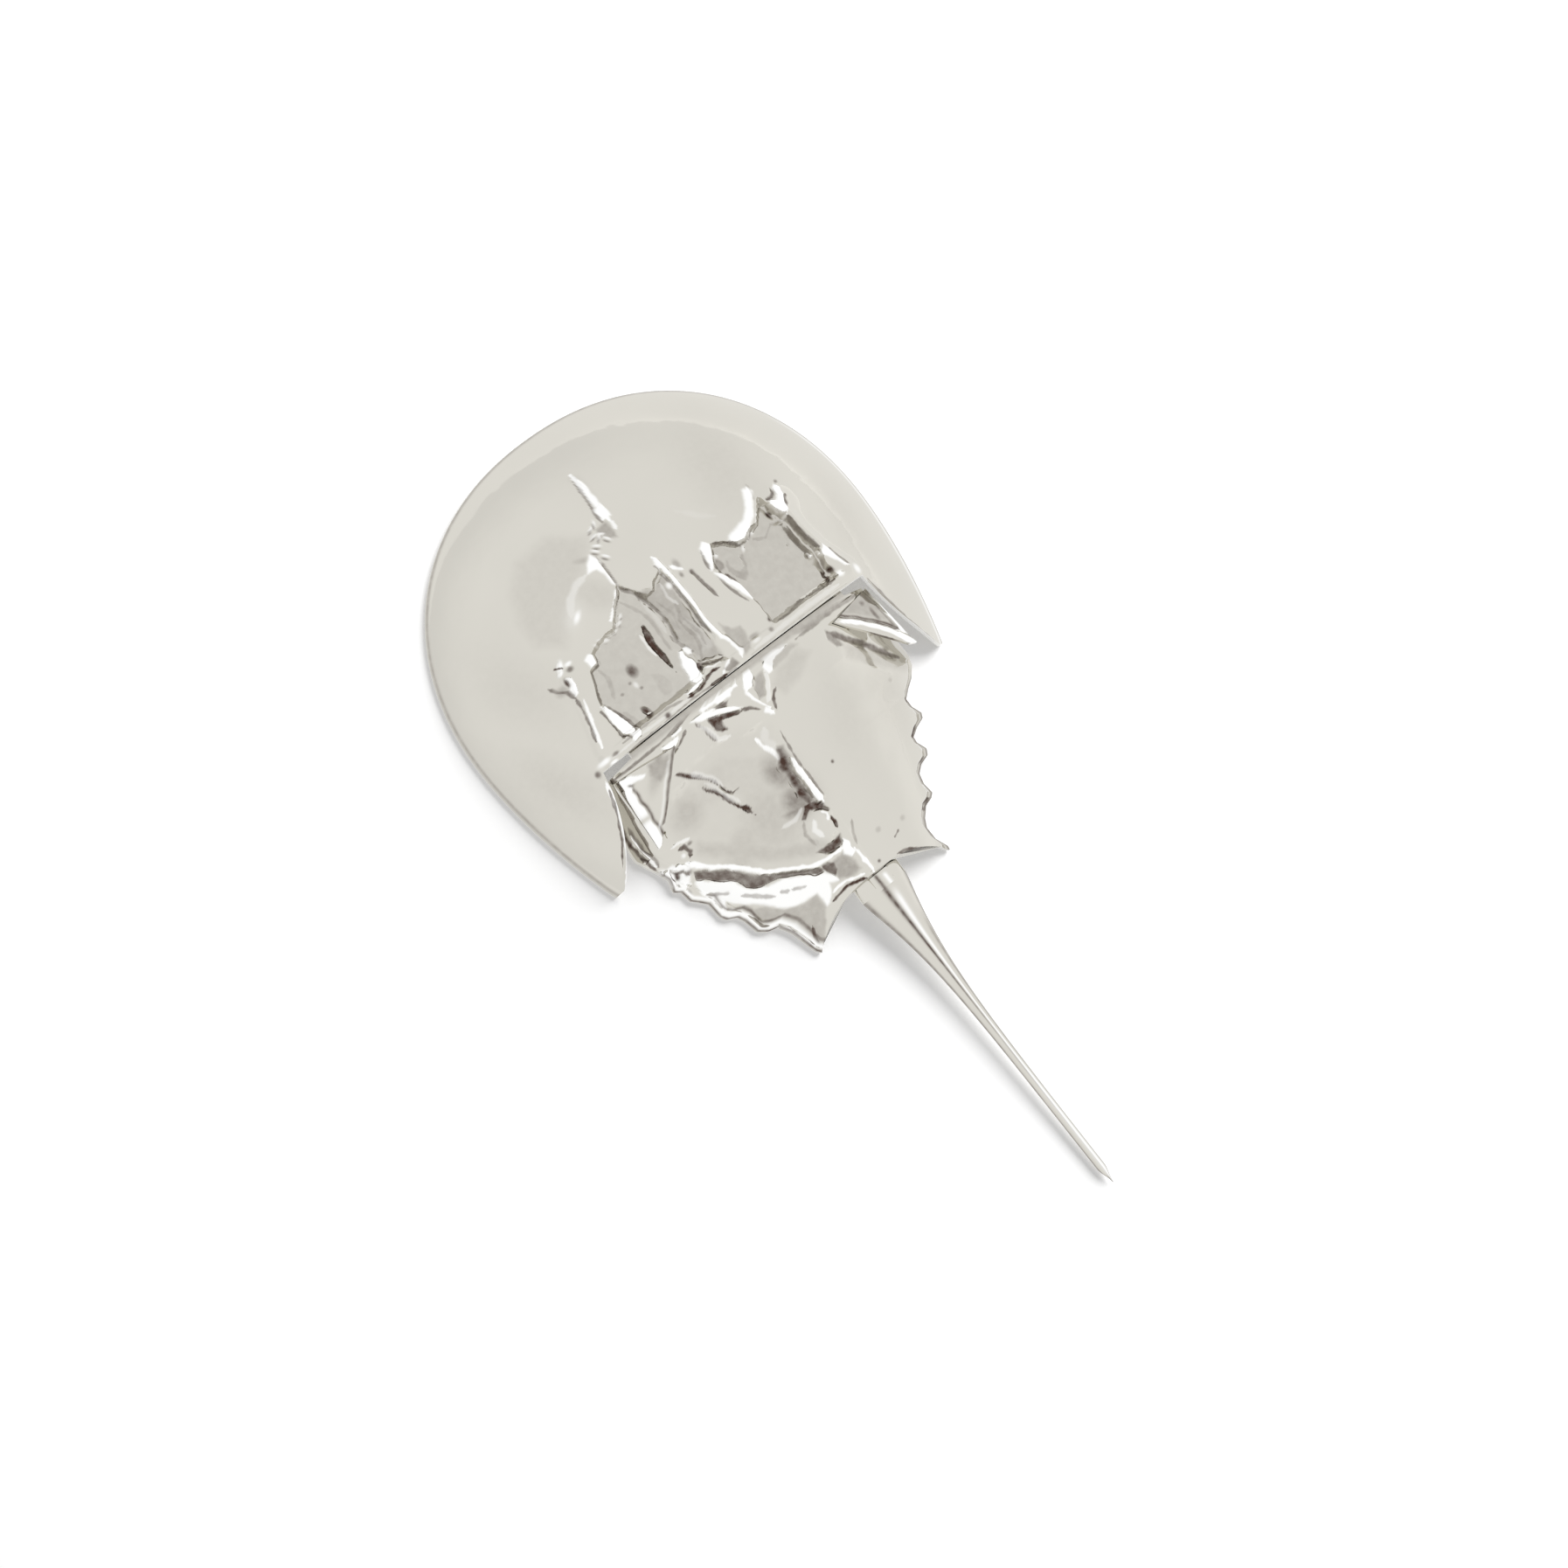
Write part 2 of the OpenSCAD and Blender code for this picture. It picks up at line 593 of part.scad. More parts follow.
module gill_screws() {
    color(steel) placed() for (p = gill_posts, s = [-1, 1]) 
        screw([s * p[0], p[1]], gill_plate_z, under_abdomen(s * p[0], p[1], post_r));
}

flap_tilt = 24;
flap_y = gill_plate_front + 0.6;
gill_pitch = (gill_plate_back - 0.3 - gill_len * cos(flap_tilt) - flap_y) / gill_count;

// A thin flap with a round rear edge, hung by its straight front edge
module flap(half_w, y, length) {
    arc_r = (half_w * half_w + length * length) / (2 * length);
    translate([0, y, gill_plate_z - seat_gap - gill_t]) rotate([-flap_tilt, 0, 0])
        linear_extrude(gill_t) intersection() {
            translate([0, length - arc_r]) circle(r = arc_r, $fn = 96);
            translate([-half_w, 0]) square([2 * half_w, length + 1]);
        }
}

function flap_w(i) = lerp(gill_front_w, gill_rear_w, i / gill_count);

module gill_cover() {
    color(dark_silver) placed() flap(flap_w(0) + 0.6, flap_y, gill_len + 1);
}

module gill_flap(i) {
    color(dark_silver) placed() flap(flap_w(i), flap_y + i * gill_pitch, gill_len);
}

// ---- Tail bracket, swivel and spike ----

block_bottom = tail_pin_z - tail_knuckle_r;
block_h = 2 * tail_knuckle_r;
leaf_t = 0.85;
leaf_r = 1.9;
leaf_gap = 0.1;
web_y = gill_plate_back + 0.1;
web_t = 0.9;
bracket_half_w = 1.9;
bracket_bottom = block_bottom - leaf_gap - leaf_t;
bracket_top = block_bottom + block_h + leaf_gap + leaf_t;

module leaf(z) {
    difference() {
        union() {
            translate([0, swivel_y, z]) cylinder(r = leaf_r, h = leaf_t);
            translate([-bracket_half_w, web_y, z]) cube([2 * bracket_half_w, swivel_y - web_y, leaf_t]);
        }
        translate([0, swivel_y, z - 1]) cylinder(d = tail_pin_d + 2 * hold_gap, h = leaf_t + 2);
    }
}

module tail_bracket() {
    color(dark_silver) placed() union() {
        leaf(bracket_bottom);
        leaf(bracket_top - leaf_t);
        translate([-bracket_half_w, web_y, bracket_bottom])
            cube([2 * bracket_half_w, web_t, bracket_top - bracket_bottom]);
        translate([-bracket_half_w, web_y - 6, gill_plate_top])
            cube([2 * bracket_half_w, 6 + web_t, bracket_top - gill_plate_top]);
    }
}

module swivel_pin() {
    color(steel) placed() translate([0, swivel_y, bracket_bottom - 0.1])
        cylinder(d = tail_pin_d, h = bracket_top - bracket_bottom + 0.2);
}

// A cylinder along X about the cross pin, between x0 and x1
module tail_cylinder(r, x0, x1) {
    translate([x0, tail_pin_y, tail_pin_z]) rotate([0, 90, 0]) cylinder(r = r, h = x1 - x0);
}

module swivel_block() {
    color(dark_silver) placed() difference() {
        union() {
            translate([0, swivel_y, block_bottom]) cylinder(r = block_half_w, h = block_h);
            translate([-block_half_w, swivel_y, block_bottom])
                cube([2 * block_half_w, tail_pin_y - swivel_y, block_h]);
            tail_cylinder(tail_knuckle_r, -block_half_w, block_half_w);
        }
        translate([0, swivel_y, block_bottom - 1])
            cylinder(d = tail_pin_d + 2 * turn_gap, h = block_h + 2);
        tail_cylinder(tail_pin_d / 2 + turn_gap, -block_half_w - 1, block_half_w + 1);
    }
}

cheek_in = block_half_w + 0.2;
cheek_out = tail_root_half_w - 0.7;
fork_web_y = tail_pin_y + tail_knuckle_r + 0.35;
fork_web_t = 1.2;
fork_h = block_h - 0.25;
spike_y = fork_web_y + fork_web_t;

module tail_pin() {
    color(steel) placed() tail_cylinder(tail_pin_d / 2, -cheek_out, cheek_out);
}

module tail_fork() {
    color(silver) placed() difference() {
        union() {
            for (x = [-cheek_out, cheek_in]) {
                tail_cylinder(tail_knuckle_r, x, x + cheek_out - cheek_in);
                translate([x, tail_pin_y, block_bottom])
                    cube([cheek_out - cheek_in, spike_y - tail_pin_y, fork_h]);
            }
            translate([-tail_root_half_w, fork_web_y, block_bottom])
                cube([2 * tail_root_half_w, fork_web_t, fork_h]);
        }
        tail_cylinder(tail_pin_d / 2 + hold_gap, -cheek_out - 1, cheek_out + 1);
    }
}

spike_len = tail_end - spike_y;
spike_flare = 11;
spike_rings = 24;

function spike_half_w(d) =
    (tail_thin_half_w + (tail_root_half_w - tail_thin_half_w) * exp(-pow(d / spike_flare, 1.2)))
    * pow(clamp01(1.004 - pow(max(0, d - spike_len + 3) / 3, 2)), 0.5);

// A roof-shaped section: a keel above, rounded below
function spike_ring(t) =
    let (d = spike_len * t, w = spike_half_w(d), up = 0.12 + 0.33 * w + 0.42 * min(w, 0.72),
         z = lerp(tail_pin_z, tail_thin_half_w + 0.25, pow(t, 0.8)))
    [for (k = [0:11]) let (a = k * 30)
        [w * cos(a) - tail_drift * pow(t, 1.3), spike_y + d,
         z + (sin(a) >= 0 ? up * pow(sin(a), 1.5) : -up * pow(-sin(a), 0.8))]];

module tail_spike() {
    color(silver) placed() skin([for (k = [0:spike_rings])
        spike_ring(1 - pow(1 - k / spike_rings, 1.2))]);
}

// ---- Assembly ----

head_shield();
leg_plate();
plate_posts();
plate_screws();
head_arm(1);  // left_head_arm
head_arm(-1);  // right_head_arm
hinge_axle();
chelicera(1);  // left_chelicera
chelicera(-1);  // right_chelicera
chilaria();
for (i = [1:5]) {
    leg(1, i);
    leg(-1, i);
}
abdomen_shield();
side_lobe(1);  // left_side_lobe
side_lobe(-1);  // right_side_lobe
gill_plate();
gill_post_set();  // gill_posts
gill_screws();
abdomen_arm(1);  // left_abdomen_arm
abdomen_arm(-1);  // right_abdomen_arm
gill_cover();
for (i = [1:gill_count]) gill_flap(i);
tail_bracket();
swivel_pin();
swivel_block();
tail_pin();
tail_fork();
tail_spike();
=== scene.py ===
"""A polished silver horseshoe crab, cast as separate shells over a hinged and screwed inner frame."""
import bpy
import json
import math
import numpy as np
from mathutils import Matrix, Vector

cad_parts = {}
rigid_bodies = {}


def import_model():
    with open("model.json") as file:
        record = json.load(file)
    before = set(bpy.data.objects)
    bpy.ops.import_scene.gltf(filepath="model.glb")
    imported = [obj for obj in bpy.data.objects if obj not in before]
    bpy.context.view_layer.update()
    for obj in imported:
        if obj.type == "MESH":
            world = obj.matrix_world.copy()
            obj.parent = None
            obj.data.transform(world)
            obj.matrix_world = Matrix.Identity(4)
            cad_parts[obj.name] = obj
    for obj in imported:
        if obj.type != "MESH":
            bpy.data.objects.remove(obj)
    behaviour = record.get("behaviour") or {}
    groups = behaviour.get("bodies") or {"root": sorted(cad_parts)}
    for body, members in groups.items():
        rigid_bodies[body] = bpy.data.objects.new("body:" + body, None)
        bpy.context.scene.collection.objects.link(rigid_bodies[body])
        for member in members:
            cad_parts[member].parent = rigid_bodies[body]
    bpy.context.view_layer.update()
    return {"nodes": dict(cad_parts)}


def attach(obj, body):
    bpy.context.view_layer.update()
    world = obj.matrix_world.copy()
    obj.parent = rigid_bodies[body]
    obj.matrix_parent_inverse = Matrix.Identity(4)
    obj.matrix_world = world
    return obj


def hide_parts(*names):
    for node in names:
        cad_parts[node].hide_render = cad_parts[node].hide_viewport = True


for leftover in list(bpy.data.objects):
    bpy.data.objects.remove(leftover)
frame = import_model()


# ---- Camera ----
# The crab is seen from almost straight above through a short tele lens. The camera leans 19 degrees
# towards its left side and is turned so that the tail points to the lower right.
CAMERA_LEAN, CAMERA_TURN = math.radians(19), math.radians(52)
CAMERA_AT, CAMERA_LENS, CAMERA_FILM = (0.179733, -0.006392, 0.518708), 85, 36
across = Vector((math.cos(CAMERA_LEAN), 0, -math.sin(CAMERA_LEAN)))
tailward = Vector((0, 1, 0))
view_right = math.cos(CAMERA_TURN) * tailward - math.sin(CAMERA_TURN) * across
view_up = -math.sin(CAMERA_TURN) * tailward - math.cos(CAMERA_TURN) * across
view_back = Vector((math.sin(CAMERA_LEAN), 0, math.cos(CAMERA_LEAN)))
camera = bpy.data.objects.new("camera", bpy.data.cameras.new("camera"))
bpy.context.scene.collection.objects.link(camera)
camera.data.lens = CAMERA_LENS
camera.data.sensor_width = CAMERA_FILM
camera.data.clip_start = 0.01
camera.matrix_world = Matrix.Translation(CAMERA_AT) @ Matrix(
    (view_right, view_up, view_back)).transposed().to_4x4()
bpy.context.scene.camera = camera
bpy.context.scene.view_settings.view_transform = "Standard"


# ---- Studio ----
# A plain white sweep under a tent of white light. The polished metal mirrors the white tent, and one
# soft lamp from the upper right lays a faint shadow on the sweep.
SWEEP_REACH, SWEEP_DROP = 3, 0.00005
CARD_WHITE, CARD_GLOW, CARD_MIRRORED, CARD_IN_METAL = (0.84, 0.84, 0.84, 1), 0.24, 0.75, 1.06
TENT_ON_CARD, TENT_IN_METAL, TENT_HEAD_END, TENT_TAIL_END = 0.42, 1.27, 1.15, 1.36
TENT_HEM, TENT_ROOF, TENT_TAILWARD = 0.03, 0.42, (-0.64, 0.77, 0)
LAMP_SIZE, LAMP_POWER, LAMP_RIGHT, LAMP_UP, LAMP_BACK = 0.9, 13.5, 0.75, 1.05, 0.58


def shader(tree, kind, values=None, **settings):
    """A shader node with its settings and the plain values of its open sockets."""
    node = tree.nodes.new(kind)
    for label, value in settings.items():
        setattr(node, label, value)
    for socket, value in (values or {}).items():
        node.inputs[socket].default_value = value
    return node


def wire(tree, *pairs):
    """Links from output sockets to input sockets, pair by pair."""
    for source, target in pairs:
        tree.links.new(source, target)


sweep_mesh = bpy.data.meshes.new("sweep")
sweep_corners = [(i * SWEEP_REACH, j * SWEEP_REACH, 0) for i, j in ((-1, -1), (1, -1), (1, 1), (-1, 1))]
sweep_mesh.from_pydata(sweep_corners, [], [(0, 1, 2, 3)])
sweep = bpy.data.objects.new("sweep", sweep_mesh)
sweep.location.z = -SWEEP_DROP
bpy.context.scene.collection.objects.link(sweep)

# the card is lit and shadowed for the camera, and is a plain white in the metal's reflections
white_card = bpy.data.materials.new("white_card")
white_card.use_nodes = True
card = white_card.node_tree
card.nodes.clear()
card_out = shader(card, "ShaderNodeOutputMaterial")
card_ray = shader(card, "ShaderNodeLightPath")
card_shadowed = shader(card, "ShaderNodeBsdfDiffuse", {"Color": CARD_WHITE})
card_glow = shader(card, "ShaderNodeMath", {1: CARD_GLOW}, operation="MULTIPLY")
card_white = shader(card, "ShaderNodeEmission")
card_sum = shader(card, "ShaderNodeAddShader")
card_mirrored = shader(card, "ShaderNodeMath", {1: CARD_MIRRORED}, operation="MULTIPLY")
card_plain = shader(card, "ShaderNodeEmission", {"Strength": CARD_IN_METAL})
card_both = shader(card, "ShaderNodeMixShader")
wire(card, (card_ray.outputs["Is Camera Ray"], card_glow.inputs[0]),
     (card_glow.outputs[0], card_white.inputs["Strength"]),
     (card_shadowed.outputs[0], card_sum.inputs[0]), (card_white.outputs[0], card_sum.inputs[1]),
     (card_ray.outputs["Is Glossy Ray"], card_mirrored.inputs[0]),
     (card_mirrored.outputs[0], card_both.inputs[0]), (card_sum.outputs[0], card_both.inputs[1]),
     (card_plain.outputs[0], card_both.inputs[2]), (card_both.outputs[0], card_out.inputs["Surface"]))
white_card.cycles.emission_sampling = "NONE"
sweep_mesh.materials.append(white_card)

# the tent: white behind the crab, soft on the card, and in the metal brighter near its hem and tailward
tent = bpy.data.worlds.new("tent")
bpy.context.scene.world = tent
tent.use_nodes = True
tent.cycles.sampling_method = "NONE"
cloth = tent.node_tree
cloth.nodes.clear()
tent_out = shader(cloth, "ShaderNodeOutputWorld")
tent_light = shader(cloth, "ShaderNodeBackground")
tent_ray = shader(cloth, "ShaderNodeLightPath")
tent_way = shader(cloth, "ShaderNodeTexCoord")
tent_height = shader(cloth, "ShaderNodeSeparateXYZ")
tent_low = shader(cloth, "ShaderNodeMapRange", {"From Min": TENT_HEM, "From Max": TENT_ROOF, "To Min": 1,
                                                "To Max": 0}, interpolation_type="SMOOTHSTEP")
tent_tail = shader(cloth, "ShaderNodeVectorMath", {1: TENT_TAILWARD}, operation="DOT_PRODUCT")
tent_sides = shader(cloth, "ShaderNodeMapRange", {"From Min": -0.6, "From Max": 0.8,
                                                  "To Min": TENT_HEAD_END, "To Max": TENT_TAIL_END})
tent_metal = shader(cloth, "ShaderNodeMix", {2: TENT_IN_METAL})
tent_level = shader(cloth, "ShaderNodeMix", {2: TENT_ON_CARD})
tent_open = shader(cloth, "ShaderNodeMath", operation="MAXIMUM")
tent_white = shader(cloth, "ShaderNodeMix", {3: 1.0})
wire(cloth, (tent_way.outputs["Generated"], tent_height.inputs[0]),
     (tent_height.outputs["Z"], tent_low.inputs["Value"]),
     (tent_way.outputs["Generated"], tent_tail.inputs[0]),
     (tent_tail.outputs["Value"], tent_sides.inputs["Value"]),
     (tent_low.outputs["Result"], tent_metal.inputs[0]),
     (tent_sides.outputs["Result"], tent_metal.inputs[3]),
     (tent_ray.outputs["Is Glossy Ray"], tent_level.inputs[0]),
     (tent_metal.outputs[0], tent_level.inputs[3]),
     (tent_ray.outputs["Is Camera Ray"], tent_open.inputs[0]),
     (tent_ray.outputs["Is Transmission Ray"], tent_open.inputs[1]),
     (tent_open.outputs[0], tent_white.inputs[0]), (tent_level.outputs[0], tent_white.inputs[2]),
     (tent_white.outputs[0], tent_light.inputs["Strength"]),
     (tent_light.outputs[0], tent_out.inputs["Surface"]))

lamp_data = bpy.data.lights.new("soft_lamp", "AREA")
lamp_data.shape = "DISK"
lamp_data.size = LAMP_SIZE
lamp_data.energy = LAMP_POWER
soft_lamp = bpy.data.objects.new("soft_lamp", lamp_data)
bpy.context.scene.collection.objects.link(soft_lamp)
lamp_from = (LAMP_RIGHT * view_right + LAMP_UP * view_up + LAMP_BACK * view_back).normalized()
soft_lamp.location = lamp_from
soft_lamp.rotation_mode = "QUATERNION"
soft_lamp.rotation_quaternion = lamp_from.to_track_quat("Z", "Y")
soft_lamp.visible_glossy = False


# ---- Head shield ----
# The large round shell, cast in silver about 1.3 mm thick and polished like a mirror. It has a thin
# front ridge, two bean eyes on long side ridges, and a crumpled field of hollows before the hinge.
HALF_W, FRONT, WIDEST, CROWN, BOW = 36.9, 46.4, 10.5, 17.2, 2.15
HORN_X, HORN_Y, HORN_TIP, HINGE_W, HINGE_EASE = 32.3, 15.5, 1.0, 25.2, 6.2
RIM_T, RIM_FLAT, SHELL_T, TOP_LIMIT = 0.9, 2.4, 1.3, 17.7
EYE_X, EYE_Y, TAIL_END = 20.6, -15.6, 93.7
MIDDLE_Y = (TAIL_END - FRONT) / 2


def smooth(a, b, v):
    """Goes softly from 0 at a to 1 at b."""
    t = np.clip((v - a) / (b - a), 0, 1)
    return t * t * (3 - 2 * t)


def hump(d, half):
    """A round bump: 1 in the middle, fading over that half width."""
    return np.exp(-(d / half) ** 2)


def half_width(y):
    """Half the width of the head shield's outline at that place along."""
    return HALF_W - (HALF_W - HORN_X) * np.clip((y + WIDEST) / (HORN_Y + WIDEST), 0, 1) ** 1.8


def dome(x, y):
    """Height of the smooth dome, before any relief."""
    out = (np.abs(x) / half_width(y)) ** BOW
    out = out + (np.maximum(0, -(y + WIDEST)) / (FRONT - WIDEST)) ** BOW
    return RIM_T + (CROWN - RIM_T) * np.clip(1 - out, 0, 1) ** 0.9


def plain_hollow(x, y):
    """Depth of the sunken field before the hinge, between the middle lobe and the ridge of the eye."""
    ax = np.abs(x)
    edge = EYE_Y - 0.09 * (ax - 13) ** 2
    eye_ridge_x = EYE_X + 0.2 * (y - EYE_Y)
    return (1.9 * smooth(0, 2.4, y - edge) * (1 - smooth(-4.6, -2.2, y)) * smooth(4.9, 6.7, ax)
            * (1 - smooth(-3.2, -0.8, ax - eye_ridge_x)))


def ripple(x, y, size, seed):
    """Smooth uneven waves between -1 and 1, about size millimetres across."""
    rng = np.random.RandomState(seed)
    field = rng.uniform(-1, 1, (97, 97))
    u, v = (x / size + 40) % 96, (y / size + 40) % 96
    i, j = u.astype(int), v.astype(int)
    fu, fv = smooth(0, 1, u - i), smooth(0, 1, v - j)
    near = field[i, j] * (1 - fv) + field[i, j + 1] * fv
    far = field[i + 1, j] * (1 - fv) + field[i + 1, j + 1] * fv
    return near * (1 - fu) + far * fu


class Relief:
    """The height of a shell over its plan, in millimetres, with painted highlights on its folds and painted
    shade with patina in its creases.
    """

    def __init__(self, x, y, height):
        self.x, self.y, self.height = x, y, np.array(height, float)
        self.bright = np.zeros_like(self.height)
        self.dark = np.zeros_like(self.height)
        self.rough_edge = 0.12 * ripple(x, y, 0.9, 21) + 0.06 * ripple(x, y, 0.4, 22)

    def add(self, shape, rise, bright, dark):
        """Lays one form over what is there: it may rise, and it may carry a painted highlight and painted
        shade with patina.
        """
        self.height += rise * shape
        if bright:
            self.bright = np.maximum(self.bright, bright * shape)
            self.dark = self.dark * (1 - bright * shape)
        if dark:
            self.dark = np.maximum(self.dark, dark * shape)
            self.bright = self.bright * (1 - dark * shape)

    def along(self, line):
        """Distance to a drawn line, the share of its length, and the side that a point is on."""
        line = np.array(line, float)
        lengths = np.hypot(*(line[1:] - line[:-1]).T)
        whole, run = lengths.sum(), 0.0
        best = np.full(self.x.shape, 1e9)
        share, side = np.zeros_like(best), np.zeros_like(best)
        for (ax, ay), (bx, by), length in zip(line[:-1], line[1:], lengths):
            dx, dy = (bx - ax) / length, (by - ay) / length
            px, py = self.x - ax, self.y - ay
            t = np.clip(px * dx + py * dy, 0, length)
            d = np.hypot(px - t * dx, py - t * dy)
            closer = d < best
            best = np.where(closer, d, best)
            share = np.where(closer, (run + t) / whole, share)
            side = np.where(closer, np.sign(dx * py - dy * px), side)
            run += length
        return best, share, side

    def fold(self, line, half, rise=0.0, bright=0.0, dark=0.0, ends=0.12):
        """A raised or sunken line with crisp uneven edges that thins out at both ends."""
        d, share, _ = self.along(line)
        fade = smooth(0, ends, share) * (1 - smooth(1 - ends, 1, share)) if ends else 1.0
        width = half * (0.35 + 0.65 * fade)
        shape = 1 - smooth(0.55 * width, 1.45 * width, d + self.rough_edge)
        self.height += rise * hump(d, 1.3 * half) * fade
        self.add(shape, 0, bright, dark)

    def patch(self, outline, rise=0.0, bright=0.0, dark=0.0, edge=0.3):
        """An area inside a drawn outline, raised or sunken, over an edge that wide."""
        d = self.along(list(outline) + [outline[0]])[0]
        within = np.zeros(self.x.shape, bool)
        for (ax, ay), (bx, by) in zip(outline, list(outline[1:]) + [outline[0]]):
            if ay != by:
                hit = (ay > self.y) != (by > self.y)
                within ^= hit & (self.x < (bx - ax) * (self.y - ay) / (by - ay) + ax)
        shape = smooth(-edge / 2, edge / 2, np.where(within, d, -d) + self.rough_edge * min(1, edge / 0.3))
        self.add(shape, rise, bright, dark)
        return shape

    def spot(self, at, size, rise=0.0, bright=0.0, dark=0.0, lean=0.0, soft=1.6):
        """A round or oval bump, or a pit where rise is negative."""
        c, s = math.cos(math.radians(lean)), math.sin(math.radians(lean))
        u = ((self.x - at[0]) * c + (self.y - at[1]) * s) / size[0]
        v = ((self.y - at[1]) * c - (self.x - at[0]) * s) / size[1]
        self.add(np.exp(-(u * u + v * v) ** soft), rise, bright, dark)


def closed_shell(name, top, under, masks):
    """A closed mesh between an upper and a lower grid of points with equal rows, in millimetres.

    The masks are given for the upper grid and run down the wall of its first column.
    """
    rows, cols, below = len(top), top.shape[1], under.shape[1]
    size = rows * cols
    points = np.concatenate([top.reshape(-1, 3), under.reshape(-1, 3)])
    points = (points - (0, MIDDLE_Y, 0)) / 1000
    row = np.arange(rows - 1)
    a = (row[:, None] * cols + np.arange(cols - 1)).ravel()
    b = size + (row[:, None] * below + np.arange(below - 1)).ravel()
    rim, hem = row * cols + cols - 1, row * cols
    low_rim, low_hem = size + row * below + below - 1, size + row * below
    faces = np.concatenate([
        np.stack([a, a + 1, a + cols + 1, a + cols], 1),
        np.stack([b, b + below, b + below + 1, b + 1], 1),
        np.stack([rim + cols, rim, low_rim, low_rim + below], 1),
        np.stack([hem, hem + cols, low_hem + below, low_hem], 1)])
    first = list(range(cols))[::-1] + [size + j for j in range(below)]
    last = [(rows - 1) * cols + j for j in range(cols)] + \
        [size + (rows - 1) * below + j for j in reversed(range(below))]
    p, q, r, s = (points[faces[:, k]] for k in range(4))
    faces = faces.tolist() + [first, last]
    if (np.cross(p, q) * r).sum() + (np.cross(p, r) * s).sum() < 0:
        faces = [f[::-1] for f in faces]
    mesh = bpy.data.meshes.new(name)
    mesh.from_pydata(points.tolist(), [], faces)
    for label, values in masks.items():
        mask = mesh.attributes.new(label, "FLOAT", "POINT")
        low = np.zeros((rows, below))
        low[:, 0] = values[:, 0]
        values = np.concatenate([values.ravel(), low.ravel()])
        mask.data.foreach_set("value", np.clip(values, 0, 1).astype(np.float32))
    mesh.shade_smooth()
    mesh.set_sharp_from_angle(angle=math.radians(62))
    piece = bpy.data.objects.new(name, mesh)
    bpy.context.scene.collection.objects.link(piece)
    return piece


# the fan of lines from the hinge edge out to the rim: front, flank and horn of one side, then mirrored
t_front = np.linspace(0, 1, 250)
angle = t_front * math.pi / 2
lines_in = [np.stack([(HINGE_W - HINGE_EASE) * t_front, 0 * t_front], 1)]
lines_out = [np.stack([HALF_W * np.sin(angle) ** (2 / BOW),
                       -WIDEST - (FRONT - WIDEST) * np.maximum(np.cos(angle), 0) ** (2 / BOW)], 1)]
t_flank = np.linspace(0, 1, 45)[1:]
y_flank = -WIDEST * (1 - t_flank)
lines_in.append(np.stack([HINGE_W - HINGE_EASE * (1 - t_flank), 0 * t_flank], 1))
lines_out.append(np.stack([half_width(y_flank), y_flank], 1))
t_horn = np.linspace(0, 1, 49)[1:]
y_horn = HORN_Y * t_horn
lines_in.append(np.stack([HINGE_W + (HORN_X - HORN_TIP - HINGE_W) * (0.3 * t_horn + 0.7 * t_horn ** 2),
                          y_horn - 0.3 * smooth(0.9, 1, t_horn)], 1))
lines_out.append(np.stack([half_width(y_horn), y_horn - 0.2 * smooth(0.9, 1, t_horn)], 1))
lines_in, lines_out = np.concatenate(lines_in), np.concatenate(lines_out)
lines_in = np.concatenate([lines_in[:0:-1], lines_in * (-1, 1)])
lines_out = np.concatenate([lines_out[:0:-1], lines_out * (-1, 1)])
steps = np.arange(231) / 230
to_rim = (1 - steps ** 1.25) ** 1.1
plan = lines_in[:, None, :] + (lines_out - lines_in)[:, None, :] * (1 - to_rim)[None, :, None]
x, y = plan[..., 0], plan[..., 1]
head = Relief(x, y, dome(x, y))

# Places are in millimetres, x to the crab's left and y tailward from the middle of the hinge. After its
# places each form gives its rise, how much painted highlight it carries and how much painted shade and
# patina. A fold gives its half width before them, a spot its size, and a patch gives the width of its edge
# after them.
# broad soft waves of the dome, with painted darker and lighter reflection tones
head.patch([(22, -20), (21.6, -24), (19.8, -28), (16, -31.6), (10.6, -32), (6, -28), (9, -25.4),
            (13, -22.6), (16.6, -19.6), (19, -17.4)], -0.1, 0, 0.1, 2.6)
head.spot((27, -16), (4.4, 9), 0, 0, 0.07, 14, 1)
head.spot((30.5, -2), (3.4, 9), 0, 0, 0.1, 20, 1)
head.spot((-17, -25), (6, 9), 0, 0, 0.08, -20, 1)
head.spot((-29, -8), (3, 8), 0, 0, 0.07, -14, 1)
head.patch([(-6.2, -23.6), (-8.3, -22.1), (-10.6, -19.6), (-8.2, -20.6)], 0.04, 0.09, 0, 0.8)
head.spot((11, -20.6), (3.4, 2.3), 0.5, 0, 0.1, -50)
head.spot((9.3, -26), (1.5, 0.55), -0.1, 0, 0.3, -25, 1)
# the two sunken fields before the hinge, browned by painted shade and patina
left_field = [(8, -19.6), (10, -17.9), (11, -16.7), (12.3, -15.3), (15, -15), (16.6, -14.2), (17, -12.6),
              (18.3, -12.2), (19, -10.4), (19.9, -8), (20.4, -5), (20.3, -2.2), (7, -2.2), (5, -3.4),
              (2.2, -2.6), (1.7, -10), (1.7, -17.8), (3, -17.3), (4, -16.4), (5.4, -16.2), (6.4, -17.3)]
right_field = [(-7.2, -16.5), (-8.6, -15.8), (-10.4, -14.4), (-12, -14.1), (-13.6, -14.9), (-15.6, -15.2),
               (-17, -16.6), (-18.5, -17.9), (-19, -15.4), (-20.2, -13.4), (-20.6, -9.6), (-21.2, -7.2),
               (-20.6, -4.4), (-20.9, -2.2), (-7.4, -2.2), (-7.4, -5), (-6.9, -9.6), (-5.4, -12.6),
               (-5.8, -14.4)]
sunken = np.maximum(head.patch(left_field, -1.25, 0, 0.17, 1.0),
                    head.patch(right_field, -1.5, 0, 0.2, 1.0))
